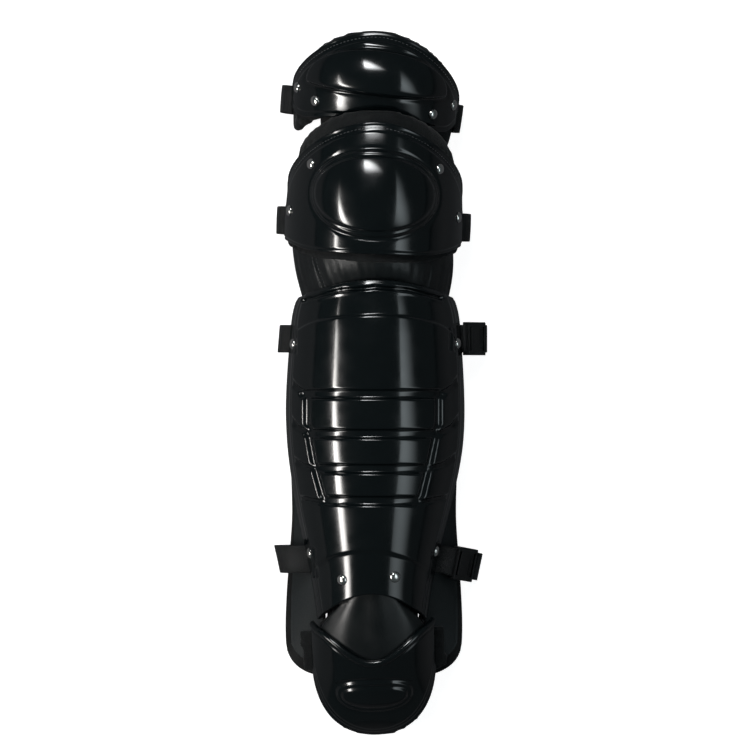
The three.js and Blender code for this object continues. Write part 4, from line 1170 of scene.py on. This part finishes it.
holder = bpy.data.objects.new("rivet places", points_mesh)
rivets = baked("nickel_rivets", holder, rivet_tree(), {"Head": head, "Finish": NICKEL})
bpy.data.objects.remove(head)
finish_piece(rivets, "nickel", *[name for name, *_ in RIVETS])

# %% [markdown]
# ## Seams
# Sewing is a line of short stitches, each a little thread that dips at both ends. Geometry Nodes turns a
# path into a curve, sets points along it at the stitch length, and places one rounded thread on each,
# lying along the path. Only the paths differ from seam to seam.

# %% Stitches by Geometry Nodes


def stitch_tree():
    inputs = [("Stitch", "NodeSocketObject"), ("Spacing", "NodeSocketFloat")]
    tree, into, out = gn_tree("Sew along a path", inputs + [("Finish", "NodeSocketMaterial")])
    curve = tree.nodes.new("GeometryNodeMeshToCurve")
    points = tree.nodes.new("GeometryNodeCurveToPoints")
    points.mode = "LENGTH"
    thread = tree.nodes.new("GeometryNodeObjectInfo")
    copies = tree.nodes.new("GeometryNodeInstanceOnPoints")
    tree.links.new(into.outputs["Geometry"], curve.inputs[0])
    tree.links.new(curve.outputs[0], points.inputs["Curve"])
    tree.links.new(into.outputs["Spacing"], points.inputs["Length"])
    tree.links.new(into.outputs["Stitch"], thread.inputs["Object"])
    tree.links.new(points.outputs["Points"], copies.inputs["Points"])
    tree.links.new(points.outputs["Rotation"], copies.inputs["Rotation"])
    tree.links.new(thread.outputs["Geometry"], copies.inputs["Instance"])
    ended(tree, copies.outputs[0], into.outputs["Finish"], out)
    return tree


SEWING = stitch_tree()
stitch = lathe("one stitch", [(0.08, -1.1), (0.3, -0.8), (0.36, 0), (0.3, 0.8), (0.08, 1.1)], 6)


def rim_seam(name, gap, reach, lift, lower=False):
    form = FORMS[name]
    q = np.linspace(-reach, reach, 160)
    out = outward(form, q)
    level = rim(name, out, lower)
    half = section(form, level)[0]
    lean = np.gradient(level, out * half)
    y = level + (1 if lower else -1) * gap * np.sqrt(1 + np.minimum(lean**2, 9))
    return surface(name, q, y, lift)


# Each seam: its name, its paths, the stitch length in millimetres and its slot.
SEAMS = [
    ("seam_thigh_rim", [rim_seam("thigh", 4.2, 0.86, 0.15)], 3.6, "glossy_shell"),
    ("seam_knee_rim", [rim_seam("knee", 4.6, 0.86, 0.15)], 3.6, "glossy_shell"),
    ("seam_link_panel", [panel[2:40, 21] + [0, 0, 0.3], panel[2:40, 24] + [0, 0, 0.3]], 3.0, "leather"),
]
for name, paths, spacing, slot in SEAMS:
    edges, points = [], []
    for path in paths:
        edges += [(len(points) + k, len(points) + k + 1) for k in range(len(path) - 1)]
        points += (np.asarray(path) * MM).tolist()
    line = bpy.data.meshes.new(name)
    line.from_pydata(points, edges, [])
    holder = bpy.data.objects.new(name + " path", line)
    values = {"Stitch": stitch, "Spacing": spacing * MM, "Finish": THREAD}
    sewn = baked(name, holder, SEWING, values)
    finish_piece(sewn, slot)
bpy.data.objects.remove(stitch)

# %% [markdown]
# ## Studio
# The guard lies on a pale floor. Glossy black plastic shows hardly anything but its lights, so the lights
# are placed for their reflections: a long softbox on the left draws the bright band down the shells, a
# smaller one past the thigh draws the marks on the domes, and a wide dim one fills the right side.

# %% Floor, lights and camera
floor_mesh = bpy.data.meshes.new("studio_floor")
FLOOR_HALF, FLOOR_DROP = 6, 0.0002
corners = [(x * FLOOR_HALF, y * FLOOR_HALF, -FLOOR_DROP) for x, y in ((-1, -1), (1, -1), (1, 1), (-1, 1))]
floor_mesh.from_pydata(corners, [], [(0, 1, 2, 3)])
floor = bpy.data.objects.new("studio_floor", floor_mesh)
bpy.context.scene.collection.objects.link(floor)
paint = bpy.data.materials.new("pale floor")
paint.use_nodes = True
tree = paint.node_tree
tree.nodes.clear()
output, mix = tree.nodes.new("ShaderNodeOutputMaterial"), tree.nodes.new("ShaderNodeMixShader")
ray, plain = tree.nodes.new("ShaderNodeLightPath"), tree.nodes.new("ShaderNodeAddShader")
lit = tree.nodes.new("ShaderNodeEmission")
soft, dim = tree.nodes.new("ShaderNodeBsdfDiffuse"), tree.nodes.new("ShaderNodeBsdfDiffuse")
soft.inputs["Color"].default_value = (0.5, 0.5, 0.5, 1)
dim.inputs["Color"].default_value = (0.12, 0.12, 0.125, 1)
lit.inputs["Color"].default_value = (1, 1, 1, 1)
lit.inputs["Strength"].default_value = 0.92
tree.links.new(soft.outputs[0], plain.inputs[0])
tree.links.new(lit.outputs[0], plain.inputs[1])
tree.links.new(ray.outputs["Is Camera Ray"], mix.inputs["Fac"])
tree.links.new(dim.outputs[0], mix.inputs[1])
tree.links.new(plain.outputs[0], mix.inputs[2])
tree.links.new(mix.outputs[0], output.inputs["Surface"])
floor_mesh.materials.append(paint)

world = bpy.context.scene.world or bpy.data.worlds.new("studio")
bpy.context.scene.world = world
world.use_nodes = True
world.node_tree.nodes["Background"].inputs["Color"].default_value = (0.78, 0.95, 1, 1)
world.node_tree.nodes["Background"].inputs["Strength"].default_value = 0.07
bpy.context.scene.view_settings.view_transform = "Standard"


# A softbox is brighter in its middle, so its light falls off from there to all four edges.
FALL_OFF, MIDDLE_GLOW = 1.6, 2.6


def feather(lamp):
    lamp.use_nodes = True
    tree = lamp.node_tree
    glow = next(node for node in tree.nodes if node.type == "EMISSION")
    place, split = tree.nodes.new("ShaderNodeNewGeometry"), tree.nodes.new("ShaderNodeSeparateXYZ")
    tree.links.new(place.outputs["Parametric"], split.inputs[0])
    across_lamp = split.outputs["Y"]
    rest = math_node(tree, "SUBTRACT", 1.0, split.outputs["X"])
    along_lamp = math_node(tree, "SUBTRACT", rest, across_lamp)
    fades = []
    for place_on in (across_lamp, along_lamp):
        rest = math_node(tree, "SUBTRACT", 1.0, place_on)
        fades.append(math_node(tree, "MULTIPLY", math_node(tree, "MULTIPLY", place_on, rest), 4.0))
    both = math_node(tree, "MULTIPLY", *fades)
    shaped = math_node(tree, "POWER", both, FALL_OFF)
    tree.links.new(math_node(tree, "MULTIPLY", shaped, MIDDLE_GLOW), glow.inputs["Strength"])


def softbox(name, azimuth_x, toward_y, distance, wide, long, watts, colour=(1, 1, 1), centre=0.0):
    lamp = bpy.data.lights.new(name, "AREA")
    feather(lamp)
    lamp.shape, lamp.size, lamp.size_y, lamp.energy, lamp.color = "RECTANGLE", wide, long, watts, colour
    made = bpy.data.objects.new(name, lamp)
    bpy.context.scene.collection.objects.link(made)
    ax, ay = math.radians(azimuth_x), math.radians(toward_y)
    ahead = Vector((math.sin(ax) * math.cos(ay), math.sin(ay), math.cos(ax) * math.cos(ay)))
    made.location = Vector((0, centre, 0.08)) + ahead * distance
    side = Vector((0, 1, 0)).cross(ahead).normalized()
    turned = Matrix((side, ahead.cross(side), ahead)).transposed().to_4x4()
    made.matrix_world = Matrix.Translation(made.location) @ turned
    return made


softbox("left_strip", -53, 0, 1.6, 0.5, 1.7, 40, (1, 0.97, 0.94), -0.2)
softbox("head_box", 0, 34, 1.5, 1.0, 0.75, 30, (0.97, 0.99, 1), 0.2)
softbox("right_fill", 60, 0, 1.8, 1.5, 2.6, 12, (0.85, 0.96, 1), -0.05)

camera_data = bpy.data.cameras.new("camera")
camera = bpy.data.objects.new("camera", camera_data)
bpy.context.scene.collection.objects.link(camera)
DISTANCE, FIELD = 8.0, 0.675
SEEN_AT, SEEN_MIDDLE = 0.06, (-0.45, 67.5)
camera_data.sensor_width = 36
camera_data.lens = camera_data.sensor_width * (DISTANCE - SEEN_AT) / FIELD
camera_data.clip_end = 30
camera.location = ((ORIGIN[0] + SEEN_MIDDLE[0]) * MM, (ORIGIN[1] + SEEN_MIDDLE[1]) * MM, DISTANCE)
bpy.context.scene.camera = camera
print("camera lens", round(camera_data.lens, 1))
